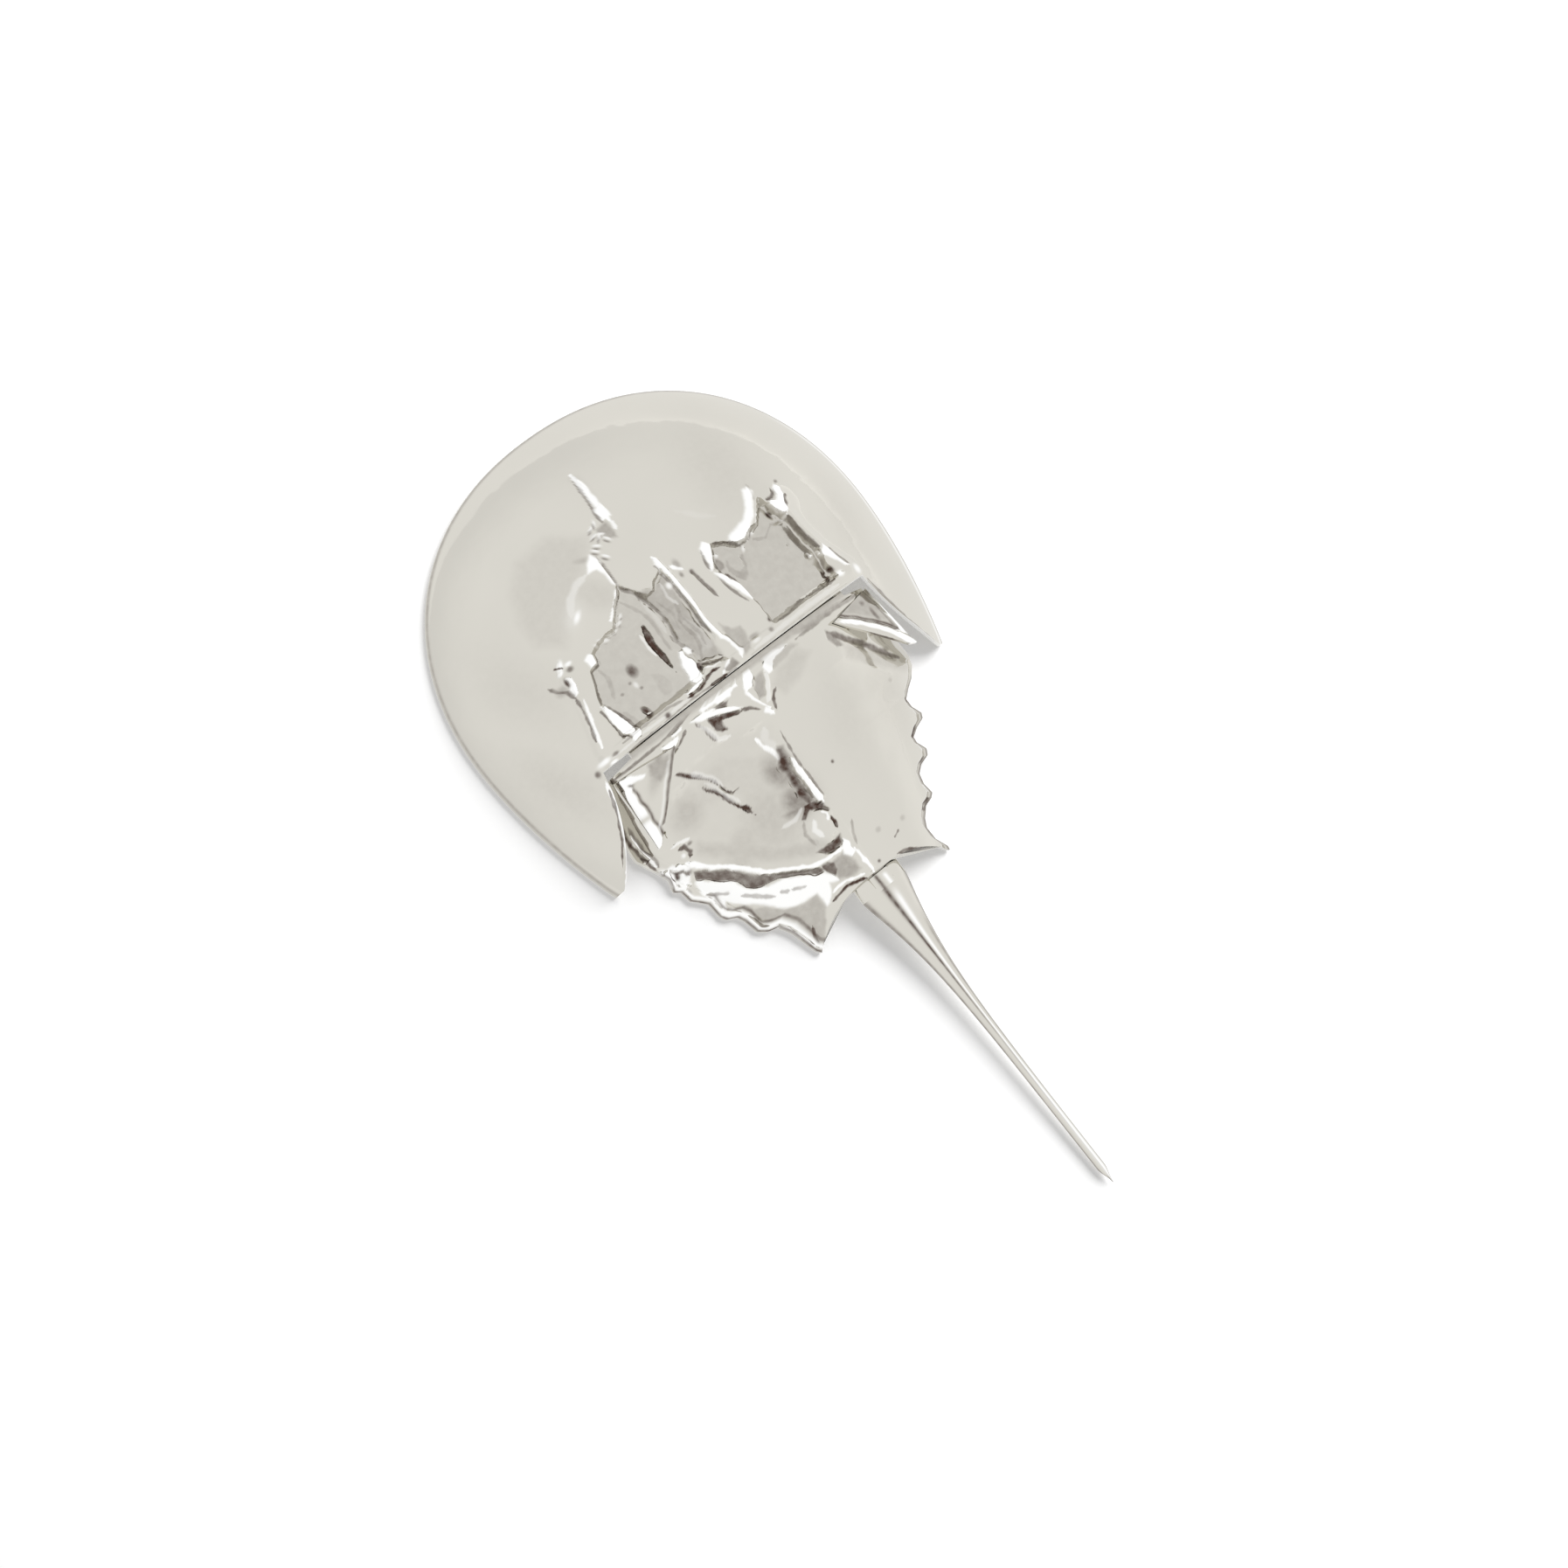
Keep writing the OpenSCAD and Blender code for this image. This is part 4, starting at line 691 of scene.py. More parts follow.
# ---- Abdomen shield ----
# The hinged rear shell, cast in silver about 1.2 mm thick. Its left half is dented and creased and its
# rim is folded up into a flange. Its right half is smooth. Blunt teeth and a spine end each side.
AXIS_Y, AXIS_Z, SLIDE_GAP, EDGE_T, BACK_T = 0.8, 8.6, 0.4, 0.85, 1.2
TONGUE_IN, TONGUE_T, EDGE_Z, EDGE_RISE, CREST_Z, CREST_Y, CREST_DROP = 4.7, 1, 1, 6.8, 15.2, 8, 7.9
SPINE_Y, NOTCH_Y, TEETH_Y, SHOULDER_Y, SHOULDER_W = 40.2, 35.6, 18.0, 13.0, 26.8
CUT_FROM_Y, ROLL_W, ROLL_KEEPS = 14, 1.5, 0.25


def margin_height(y):
    """Height of the shell's side edge: high beside the hinge, low from there on."""
    return EDGE_Z + EDGE_RISE * (1 - smooth(1, 12, y))


def crest_height(y):
    """Height of the middle line: nearly level at first, then falling to the notch."""
    rear = CREST_Z - CREST_DROP * (np.maximum(y - CREST_Y, 0) / (NOTCH_Y - CREST_Y)) ** 0.93
    return np.where(y < CREST_Y, CREST_Z + 0.3 * (1 - y / CREST_Y), rear)


def flank_width(y):
    """Half the width of the plain shell, before its teeth are cut."""
    front = 24.7 + 2.1 * smooth(1, SHOULDER_Y, y)
    middle = SHOULDER_W - 2.3 * smooth(SHOULDER_Y + 1, TEETH_Y, y)
    rear = 24.5 - 11.6 * (np.clip((y - TEETH_Y) / (SPINE_Y - TEETH_Y), 0, 1)) ** 0.92
    return np.where(y < SHOULDER_Y, front, np.where(y < TEETH_Y, middle, rear))


def plain_abdomen(x, y):
    """Height of the smooth shell, before any relief."""
    m = margin_height(y)
    return m + (crest_height(y) - m) * np.clip(1 - (x / flank_width(y)) ** 2, 0, 1) ** 0.9


def dent(x, y):
    """Depth of the plain dent in the left half."""
    return (1.6 * smooth(2.2, 5, x) * smooth(5, 8.5, y) * (1 - smooth(20.5, 23.5, y + 0.32 * x))
            * (1 - smooth(15, 19, x + 0.05 * y)))


# the cut edges as cast: three blunt teeth and a spine on each side, as places along and half widths
LEFT_EDGE = [(13, 26.8), (16.6, 25.1), (18, 24.6), (19.9, 25.1), (20.5, 24.2), (22.4, 23.9), (23.3, 23),
             (24.4, 22), (26.9, 21.8), (27.8, 21.2), (28.5, 19.8), (29.6, 19.2), (31.9, 18.7),
             (32.9, 17.4), (33.3, 15.8), (35.3, 14.6), (37.8, 13.9), (39.6, 13.4), (40.2, 12.9)]
RIGHT_EDGE = [(13, 26.8), (15, 26.2), (16.5, 24.8), (17.5, 23.2), (18.5, 21.9), (19.9, 21.9),
              (21.5, 22.7), (22.3, 22.3), (22.8, 20.6), (23.7, 19.1), (24.6, 19), (26.2, 19.8),
              (27.1, 19.3), (27.6, 17.4), (28.5, 16.2), (30.1, 15.8), (31.9, 16.1), (32.5, 15.3),
              (32.8, 14), (34.2, 12.5), (35.5, 11.8), (37.6, 11.9), (39.6, 12.9), (40.2, 12.8)]
columns = np.linspace(-1, 1, 301)
columns = np.sign(columns) * (np.abs(columns) - 0.05 * np.sin(2 * np.pi * np.abs(columns)))
# the tongue that slides under the hinge bar, and then the shell behind it
tongue_x = columns * (HINGE_W - TONGUE_IN)
tongue_r = dome(tongue_x, 0 * tongue_x) - SHELL_T - SLIDE_GAP - AXIS_Z
tongue_turn = np.radians(np.linspace(32, 0, 12))
tongue_top, tongue_under = (
    np.stack([np.stack([tongue_x, AXIS_Y - r * math.sin(a), AXIS_Z + r * math.cos(a)], 1)
              for a in tongue_turn])
    for r in (tongue_r, tongue_r - TONGUE_T))
shell_y = AXIS_Y + 0.6
side_y = np.linspace(shell_y, SPINE_Y, 271)
mid_y = shell_y + (NOTCH_Y - shell_y) * (side_y - shell_y) / (SPINE_Y - shell_y)
left_edge, right_edge = (
    np.where(side_y < SHOULDER_Y, flank_width(side_y), np.interp(side_y, *np.array(cut).T))
    for cut in (LEFT_EDGE, RIGHT_EDGE))
x = columns[None, :] * np.where(columns[None, :] > 0, left_edge[:, None], right_edge[:, None])
hollowed = np.abs(columns) ** np.where(columns > 0, 3.4, 2.4)
y = mid_y[:, None] + (side_y - mid_y)[:, None] * hollowed[None, :]
to_edge = (1 - np.abs(columns))[None, :] * np.minimum(left_edge, right_edge)[:, None]


def cut_low(height, y):
    """Rolls the shell down to its margin where a tooth is cut in from the plain flank."""
    keep = smooth(0, ROLL_W, to_edge) * (y > CUT_FROM_Y) + (y <= CUT_FROM_Y)
    return margin_height(y) + (height - margin_height(y)) * np.maximum(keep, ROLL_KEEPS)


back = Relief(x, y, cut_low(plain_abdomen(x, y), y))
# the dent, with faint painted shade in it
dented = back.patch([(2.4, 9.4), (8, 6.4), (14, 7), (18.6, 9.4), (21, 12.6), (20.6, 16.6), (17, 20.6),
                     (12.6, 24.4), (7.4, 27.2), (3.4, 27.4), (2.6, 22), (2.4, 14)], -1.25, 0, 0.05, 3.0)
back.patch([(5, 12), (10, 8.6), (13, 9.6), (11.4, 14), (9.6, 20), (6, 22.6), (3.4, 21), (3.2, 14)], -0.2,
           0, 0.1, 2.2)
# the middle ridge: a beige bead that carries painted highlight and painted shade strips, and the knots along
# it
back.fold([(2.4, 8.6), (2.6, 12), (2.3, 15), (2.2, 19), (1.9, 23)], 0.85, 0.55, 0, 0.0, 0.06)
back.fold([(1.9, 22.6), (1.5, 26), (1.4, 30), (1.2, 35.4)], 0.6, 0.45, 0, 0, 0.04)
back.fold([(4.8, 9.6), (4.5, 11.1), (3.7, 12.7), (3.3, 14.4)], 0.26, 0.2, 0.95)
back.fold([(3.2, 9.2), (3.8, 10.6), (3.3, 12.4)], 0.5, 0.3, 0.2)
back.patch([(3.1, 12.6), (2.4, 13), (2.5, 14.4), (2.7, 16.4), (2.6, 19.2), (2.6, 21.8), (3.5, 22),
            (3.9, 20), (3.6, 17), (4.2, 15), (3.6, 14.2)], -0.4, 0, 0.95, 1.1)
back.patch([(3.2, 14.2), (5.8, 14.4), (5.2, 15.2), (4, 16), (3.8, 19), (5, 20.6), (7.6, 20.8), (7, 21.8),
            (3.4, 22.4)], -0.2, 0, 0.62, 2.4)
# painted shade and darker reflection tones over the dent and the smooth right half
back.spot((4.6, 15.6), (1.9, 2.8), -0.1, 0, 0.55, 20, 1)
back.spot((4.6, 20.4), (2.4, 2.4), -0.1, 0, 0.65, -20, 1)
back.spot((9, 20), (4.4, 5.5), 0, 0, 0.2, 0, 1.2)
back.spot((14.5, 21), (4, 2.6), 0, 0, 0.18, 40, 1.2)
back.spot((13, 11), (4.4, 2.4), 0, 0, 0.14, 30, 1)
back.spot((-9, 14), (4, 9), 0, 0, 0.06, -14, 1)
back.spot((-18, 16), (3.4, 7), 0, 0, 0.08, -20, 1)
back.spot((18, 12), (3, 2.6), 0, 0, 0.24, 40, 1.1)
back.patch([(2.25, 14.9), (2.7, 16), (2.6, 18), (2.5, 20), (2.4, 22.4), (1.7, 22.9), (1.4, 22),
            (1.6, 19.4), (1.9, 17), (1.9, 15.6)], 0.3, 1.0, 0, 0.3)
back.fold([(1.5, 10.8), (1.6, 13.6), (1.7, 15.9), (1.4, 18), (1.2, 22)], 0.15, -0.15, 0, 0.6)
back.patch([(5.1, 23.6), (3.7, 22.9), (2.5, 23.6), (1.9, 24.6), (2.2, 25.5), (2.4, 27.3), (3.7, 27.9),
            (5.4, 27.3), (6, 25.4)], 0.7, 0.05, 0, 1.0)
back.patch([(5.6, 23), (4.2, 21.6), (2.7, 21.8), (1.9, 22.9), (1.6, 24.2), (2, 24.3), (2.6, 23.3),
            (3.8, 22.6), (5.1, 23.4)], -0.3, 0, 1.0, 0.35)
back.fold([(2.1, 25.1), (1.95, 26), (2.1, 27)], 0.22, -0.2, 0, 1.0)
back.fold([(2.9, 23.6), (2.4, 24.4), (2.6, 25.2)], 0.16, 0.1, 0.9)
back.fold([(5.5, 23.4), (6.3, 25), (5.8, 27.2)], 0.3, -0.1, 0, 0.4)
back.fold([(4.6, 21.6), (6.4, 22.4), (8.6, 22.2)], 0.3, 0.1, 0.3)
back.fold([(4.2, 24), (4.8, 25.4), (4.4, 26.8)], 0.4, 0.1, 0.55)
back.patch([(2.3, 28), (4.4, 28.2), (6.6, 28), (5.6, 29), (4.2, 29.5), (2.5, 29.3)], -0.3, 0, 0.95, 0.5)
back.patch([(3.5, 30.7), (3, 29.6), (2.3, 28.7), (1.9, 29.6), (1.8, 31.2), (2.6, 31.7)], 0.3, 1.0, 0,
           0.3)
back.patch([(7, 30), (6, 30.3), (5.2, 30.8), (5.1, 31.9), (6, 32.5), (6.8, 31.3)], -0.2, 0, 0.85, 0.4)
back.patch([(5.4, 30.6), (3.4, 30.4), (2.6, 31.8), (2.4, 33.8), (4, 34), (6, 33.2)], -0.15, 0, 0.42, 0.8)
back.fold([(1.7, 31), (1.4, 33), (1, 35.6)], 0.26, 0.15, 1.0)
back.fold([(-0.5, 27.4), (0.4, 29), (1, 30.6)], 0.3, -0.12, 0, 0.35)
# painted highlights on the folded strips and painted shade in the creases behind the hinge bar
back.patch([(9.4, 1.4), (2.8, 1.4), (2.9, 1.9), (4.2, 2.1), (4.6, 2.4), (6.7, 2.4), (7, 2.1),
            (9.3, 1.9)], 0.25, 1.0, 0, 0.3)
back.patch([(8.6, 2.3), (6.6, 2.5), (5.2, 2.8), (5.8, 3.4), (7, 3)], -0.25, 0, 0.85, 0.35)
back.patch([(11.4, 2), (10.7, 1.85), (9.2, 2), (7.8, 2.35), (6.7, 3), (5.1, 3.9), (4.1, 4.8),
            (4.75, 4.85), (6, 4.3), (7.8, 3.45), (9.2, 3), (10.6, 2.65)], 0.3, 1.0, 0, 0.3)
back.patch([(9.2, 3.2), (7.8, 3.6), (6, 4.4), (4.5, 4.95), (3.6, 5.5), (4.8, 5.35), (6, 4.9), (7.7, 4.4),
            (7.8, 5.2), (7.4, 6.2), (8.4, 5.9), (9.2, 5)], -0.3, 0, 0.95, 0.3)
back.fold([(4.3, 5.1), (3.3, 5.6), (2, 6.8)], 0.22, -0.2, 0, 0.9)
back.fold([(11, 2.6), (10.4, 3.6), (10.3, 4.8), (9.8, 6.3)], 0.22, -0.2, 0, 0.75)
back.fold([(10.7, 3), (10, 4.6), (9.4, 6.4), (7.8, 7)], 0.3, 0.2, 0.35)
back.patch([(0, 0.7), (1, 1.05), (1.7, 1.6), (2.3, 2.6), (2.7, 3.7), (2, 3.55), (0.9, 3.2), (-0.1, 2)],
           0.3, 1.0, 0, 0.3)
back.fold([(2.4, 3.6), (2.1, 4.8), (1.5, 6.2), (0.8, 7.5)], 0.22, 0.25, 1.0, 0, 0.02)
back.patch([(1.9, 7.3), (1.4, 7), (0.6, 8), (0.8, 8.5), (1.4, 8.2)], 0.3, 1.0, 0, 0.3)
back.patch([(-1.9, 1.9), (-2.9, 1.4), (-4.5, 1.2), (-7.3, 1.5), (-6.1, 1.8), (-4.7, 1.9), (-3.8, 2.3),
            (-2.9, 3.2), (-2, 3.4)], 0.3, 1.0, 0, 0.3)
back.fold([(-1.9, 2.6), (-1.3, 4), (-0.2, 5.6), (0.8, 6.6)], 0.3, 0.3, 0.4)
back.fold([(-1.8, 5.5), (-1.1, 5.9), (-0.3, 6.8), (0.2, 8.2)], 0.2, -0.2, 0, 0.8)
back.patch([(-1.6, 2.4), (-0.2, 2.6), (0.9, 3.8), (1.2, 5.4), (0.2, 5.4), (-1, 3.8)], -0.25, 0, 0.4, 0.6)
back.patch([(-2.4, 1.2), (-4.6, 1.3), (-7, 1.4), (-8.8, 2.4), (-6, 3), (-3.4, 3.2)], -0.2, 0, 0.25, 0.8)
back.patch([(16.7, 2.4), (15.5, 2.4), (13.9, 2.4), (14.1, 2.8), (14.9, 3.35), (15.7, 3.5), (16.2, 3.2)],
           0.3, 1.0, 0, 0.3)
back.fold([(14.6, 2), (12.8, 1.8)], 0.2, 0.2, 0.9)
back.fold([(16, 3.9), (14.4, 3.6), (12.6, 2.5)], 0.2, -0.2, 0, 0.7)
back.fold([(-23, 1.7), (-16, 1.5), (-9, 1.7)], 0.3, -0.2, 0, 0.5)
back.fold([(24.6, 1.8), (20, 1.8), (16.6, 1.7), (12.4, 1.4)], 0.2, -0.2, 0, 0.65)
# two sharp creases run down from the lobe over the dent, with painted shade in them and painted highlights
# beside them
back.fold([(16.3, 7.1), (15.1, 8.1), (14.4, 8.75), (13.95, 9.3), (13.3, 10), (12.8, 10.9), (12.5, 11.8),
           (12.1, 13), (11.45, 13.7), (10.5, 13.7)], 0.22, -0.35, 0, 1.0, 0.2)
back.fold([(17, 6.6), (15.1, 8.2), (14.4, 8.85)], 0.26, -0.2, 0, 1.0)
back.fold([(15, 7.8), (13.9, 8.9), (12.8, 10.3), (12.1, 12)], 0.34, 0.35, 0.3)
back.fold([(14.7, 9.8), (14.3, 11.1), (13.6, 11.9), (13.2, 12.7), (12.8, 13.9), (12.25, 15),
           (11.8, 15.8), (11.2, 16.6), (10.5, 18.2)], 0.22, -0.35, 0, 1.0, 0.15)
back.fold([(11.3, 16.2), (10.8, 17.4)], 0.4, -0.2, 0, 1.0)
back.fold([(14.1, 10), (13, 11.8), (12.4, 13.6), (11.4, 15.4)], 0.34, 0.35, 0.25)
back.fold([(21.8, 15.4), (20.9, 15.6), (20.4, 16.6), (20.9, 17.2)], 0.3, -0.3, 0, 0.9)
back.spot((20, 15.6), (0.4, 0.25), -0.1, 0, 0.7)
back.spot((21.6, 16.5), (0.35, 0.3), 0.15, 0.7)
back.fold([(22.6, 14.6), (21.4, 14.6), (19.8, 15)], 0.14, 0.2, 0.6)
# the folded corner boss and the flange: painted highlight line, painted shade strip, painted highlight band,
# grey toothed strip
back.patch([(25.2, 16.4), (23.4, 16.6), (21.9, 17.6), (21.6, 18.6), (22.4, 20), (23.4, 20.8),
            (24.6, 20.4), (25.3, 18.6)], 0.3, 0.9, 0.0, 0.5)
back.fold([(23.9, 16.9), (23.5, 17.9), (22.7, 18.3), (22.2, 19.2)], 0.2, -0.2, 0, 0.9)
back.fold([(24.5, 18.6), (24, 19.4), (24.2, 20.2)], 0.18, -0.15, 0, 0.85)
back.patch([(24.6, 16.7), (24, 16.9), (24.2, 18), (24.3, 19.2), (25, 19.6), (25.1, 18.2), (25, 17.2)],
           0.3, 1.0, 0, 0.25)
back.patch([(23.9, 17), (22.6, 16.9), (21.8, 18.1), (22.6, 18), (23.6, 17.6)], 0.3, 1.0, 0, 0.3)
back.patch([(23.7, 19.2), (22.9, 19.5), (22.5, 20.4), (23.3, 20.2)], 0.3, 1.0, 0, 0.3)
back.spot((23.6, 18.4), (0.45, 0.55), -0.25, 0, 1.0)
back.spot((22.2, 18.9), (0.5, 0.4), -0.25, 0, 0.9)
back.spot((23.4, 21.3), (0.4, 0.65), -0.25, 0, 1.0)
back.patch([(21.6, 19), (20.1, 20.2), (18.5, 21.6), (16.9, 22.7), (16.1, 24), (15.1, 25.2), (13.7, 26.1),
            (11.9, 27.3), (10.1, 28.4), (8.7, 29.2), (7.3, 30), (7.1, 30.9), (8.3, 30.6), (9.2, 29.8),
            (10.5, 28.9), (12.4, 27.8), (14.2, 27.2), (15.8, 26.8), (16.9, 25.8), (17.3, 24.5),
            (18, 23.6), (19.4, 22.6), (20.8, 21.1), (21.7, 20.4)], -0.45, 0, 0.8, 0.35)
back.fold([(21.9, 17.6), (20.8, 18.8), (19.2, 20.4), (17.4, 21.9), (16.2, 23), (15.3, 24.2),
           (13.7, 25.8), (11.9, 26.9), (10.1, 28), (8.7, 28.9), (7.4, 29.4), (6, 29.7), (3, 29.8)], 0.3,
          0.4, 1.0, 0, 0.03)
back.patch([(22, 20.6), (21.1, 21.1), (19.4, 22.8), (17.8, 24), (17.2, 25.4), (16.5, 26.4), (14.6, 27.6),
            (12.4, 28), (10.3, 29.2), (9, 30), (8, 30.9), (7.1, 31), (6.2, 32.4), (6, 33.2), (7.4, 32.6),
            (7.8, 34), (8.7, 35), (9.3, 35.2), (9.5, 32.8), (11.5, 32.7), (13, 32.2), (14.2, 31.6),
            (15.3, 30.4), (16, 29.5), (17.1, 28.5), (18, 27.6), (19, 26.7), (19.9, 25.5), (20.4, 26.7),
            (19.2, 27.4), (18.3, 28.7), (17.9, 30.1), (18, 31.7), (18.7, 31.6), (19, 29.6), (19.5, 28.5),
            (21, 27.9), (21.6, 27.2), (21.7, 24.2), (22, 22.8)], 0.15, 0.95, 0, 0.5)
back.patch([(17.7, 28.7), (16, 29.7), (14.2, 31.8), (11.9, 32.8), (9.7, 32.8), (9.4, 35.2), (10.4, 36.8),
            (12.4, 39.7), (13.2, 39), (13.6, 36.5), (14.5, 34.2), (16, 32.5), (17.7, 31.8)], -0.2, 0,
           0.3, 0.6)
for line in ([(21.3, 23.2), (20.2, 24), (19, 25.1)], [(18, 26.3), (16, 28), (14.4, 29.4)],
             [(13.6, 29.4), (12.5, 30)], [(12.1, 30.1), (11, 30.7), (10.2, 31)], [(20.8, 26), (21.3, 24.2)]):
    back.fold(line, 0.26, -0.15, 0, 0.62)
back.fold([(18.9, 29), (18.6, 30), (18.5, 31.6), (17.4, 32.5), (16.2, 32.8), (15.1, 34), (14.2, 35.8),
           (13.6, 37.6), (13.3, 39)], 0.24, 0.2, 1.0, 0, 0.04)
back.fold([(12.2, 36.2), (12.5, 37.8), (12.8, 39.5)], 0.2, -0.2, 0, 0.9)
back.fold([(26.1, 6), (26.2, 10), (25.9, 13), (25.2, 16)], 0.3, -0.2, 0, 0.85)
back.fold([(25.4, 8), (25.4, 12), (24.8, 15.6)], 0.24, -0.2, 0, 0.6)
back.fold([(25.8, 9), (25.7, 12.4), (25, 15.4)], 0.16, 0.2, 0.8)
# rear notch and the edges of the teeth, with painted highlights and painted shade along them
back.fold([(7.9, 34.3), (6.7, 33.9), (5.1, 34), (4, 34.4), (2.4, 34.8)], 0.2, 0.2, 1.0)
back.fold([(8.3, 35.2), (6.7, 34.9), (5.5, 34.6), (4.4, 34.9), (3.3, 35.2), (2.4, 35.6)], 0.22, -0.2, 0,
          1.0)
back.fold([(-3.6, 35.5), (-5.5, 36), (-7.1, 36.8), (-8.9, 38), (-11.2, 39.6)], 0.22, -0.15, 0, 0.8)
along_teeth = smooth(15.5, 17, y)
back.add(hump(to_edge - 0.55, 0.28) * along_teeth * (x > 0), 0.1, 0.95, 0)
back.add(hump(to_edge - 1.15, 0.22) * along_teeth * (x > 0) * (y > 23), -0.1, 0, 0.75)
back.add(hump(to_edge - 0.05, 0.2) * along_teeth * (x > 0), 0, 0, 0.85)
back.add(hump(to_edge - 0.05, 0.28) * along_teeth * (x < 0), 0, 0, 0.6)
for line in ([(-21.6, 17.6), (-21.4, 19)], [(-20.3, 22.4), (-18.8, 23.6)], [(-18.8, 27.1), (-17.2, 27.5)],
             [(-15, 32.2), (-13, 33.2)]):
    back.fold(line, 0.3, -0.25, 0, 0.8)
for line in [(-21, 19.6), (-21.8, 21.2)], [(-18.4, 24.8), (-18.9, 26.2)], [(-15.2, 30), (-15.4, 31.6)]:
    back.fold(line, 0.3, 0.15, 0.5)
# a crease with painted shade, and broad painted darker reflection tones on the right half and inside the
# left flange
back.fold([(-14.2, 3.6), (-16.3, 5.9), (-18.4, 7.6), (-21.5, 10.4), (-24.2, 13)], 0.5, -0.2, 0, 0.7)
back.patch([(-13.9, 3.2), (-15, 4.4), (-15.2, 6.4), (-14.2, 6.2), (-13.6, 4.6)], -0.2, 0, 0.55, 0.5)
back.patch([(-8, 2.6), (-4, 3.4), (-1.4, 5), (-2.4, 7), (-6.4, 6.4), (-10, 4.4)], -0.1, 0, 0.13, 1.6)
back.patch([(-15.4, 6.6), (-18, 7.8), (-22, 11), (-24.6, 13.4), (-25.4, 15.6), (-22.6, 14.6), (-18, 11),
            (-14.6, 8.4)], -0.1, 0, 0.16, 1.6)
back.patch([(20, 17.5), (16, 21.6), (12, 25.2), (7, 28), (4, 28.6), (5, 26.8), (10, 24), (15, 19.6),
            (19, 16.2)], -0.15, 0, 0.2, 2.2)
# faint marks on the smooth right half
back.spot((-2.9, 19), (0.28, 0.28), -0.12, 0, 0.8)
back.fold([(-4.7, 33.5), (-6.1, 32.9)], 0.18, -0.12, 0, 0.7)
back.spot((-0.6, 34.7), (0.3, 0.25), -0.1, 0, 0.7)
for at in [(-3.2, 31), (-7.8, 31.9), (-23.1, 10.7), (-19.7, 14.8)]:
    back.spot(at, (0.5, 0.4), -0.08, 0, 0.25)
back.height += (0.03 + 0.08 * dented) * ripple(x, y, 2.2, 8) + 0.04 * ripple(x, y, 5, 10)
under = np.maximum(margin_height(y) - EDGE_T, cut_low(plain_abdomen(x, y), y) - dent(x, y) - BACK_T)
back.height = np.maximum(back.height, under + 0.35)
zeros = np.zeros(tongue_top.shape[:2])
abdomen_shield = closed_shell(
    "abdomen_shell", np.concatenate([tongue_top, np.dstack([x, y, back.height])]),
    np.concatenate([tongue_under, np.dstack([x, y, under])]),
    {"worn": np.concatenate([zeros, back.bright]), "tarnish": np.concatenate([zeros + 0.3, back.dark])})
abdomen_shield.data.materials.append(mirror_silver)
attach(abdomen_shield, "abdomen")
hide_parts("abdomen_shield")


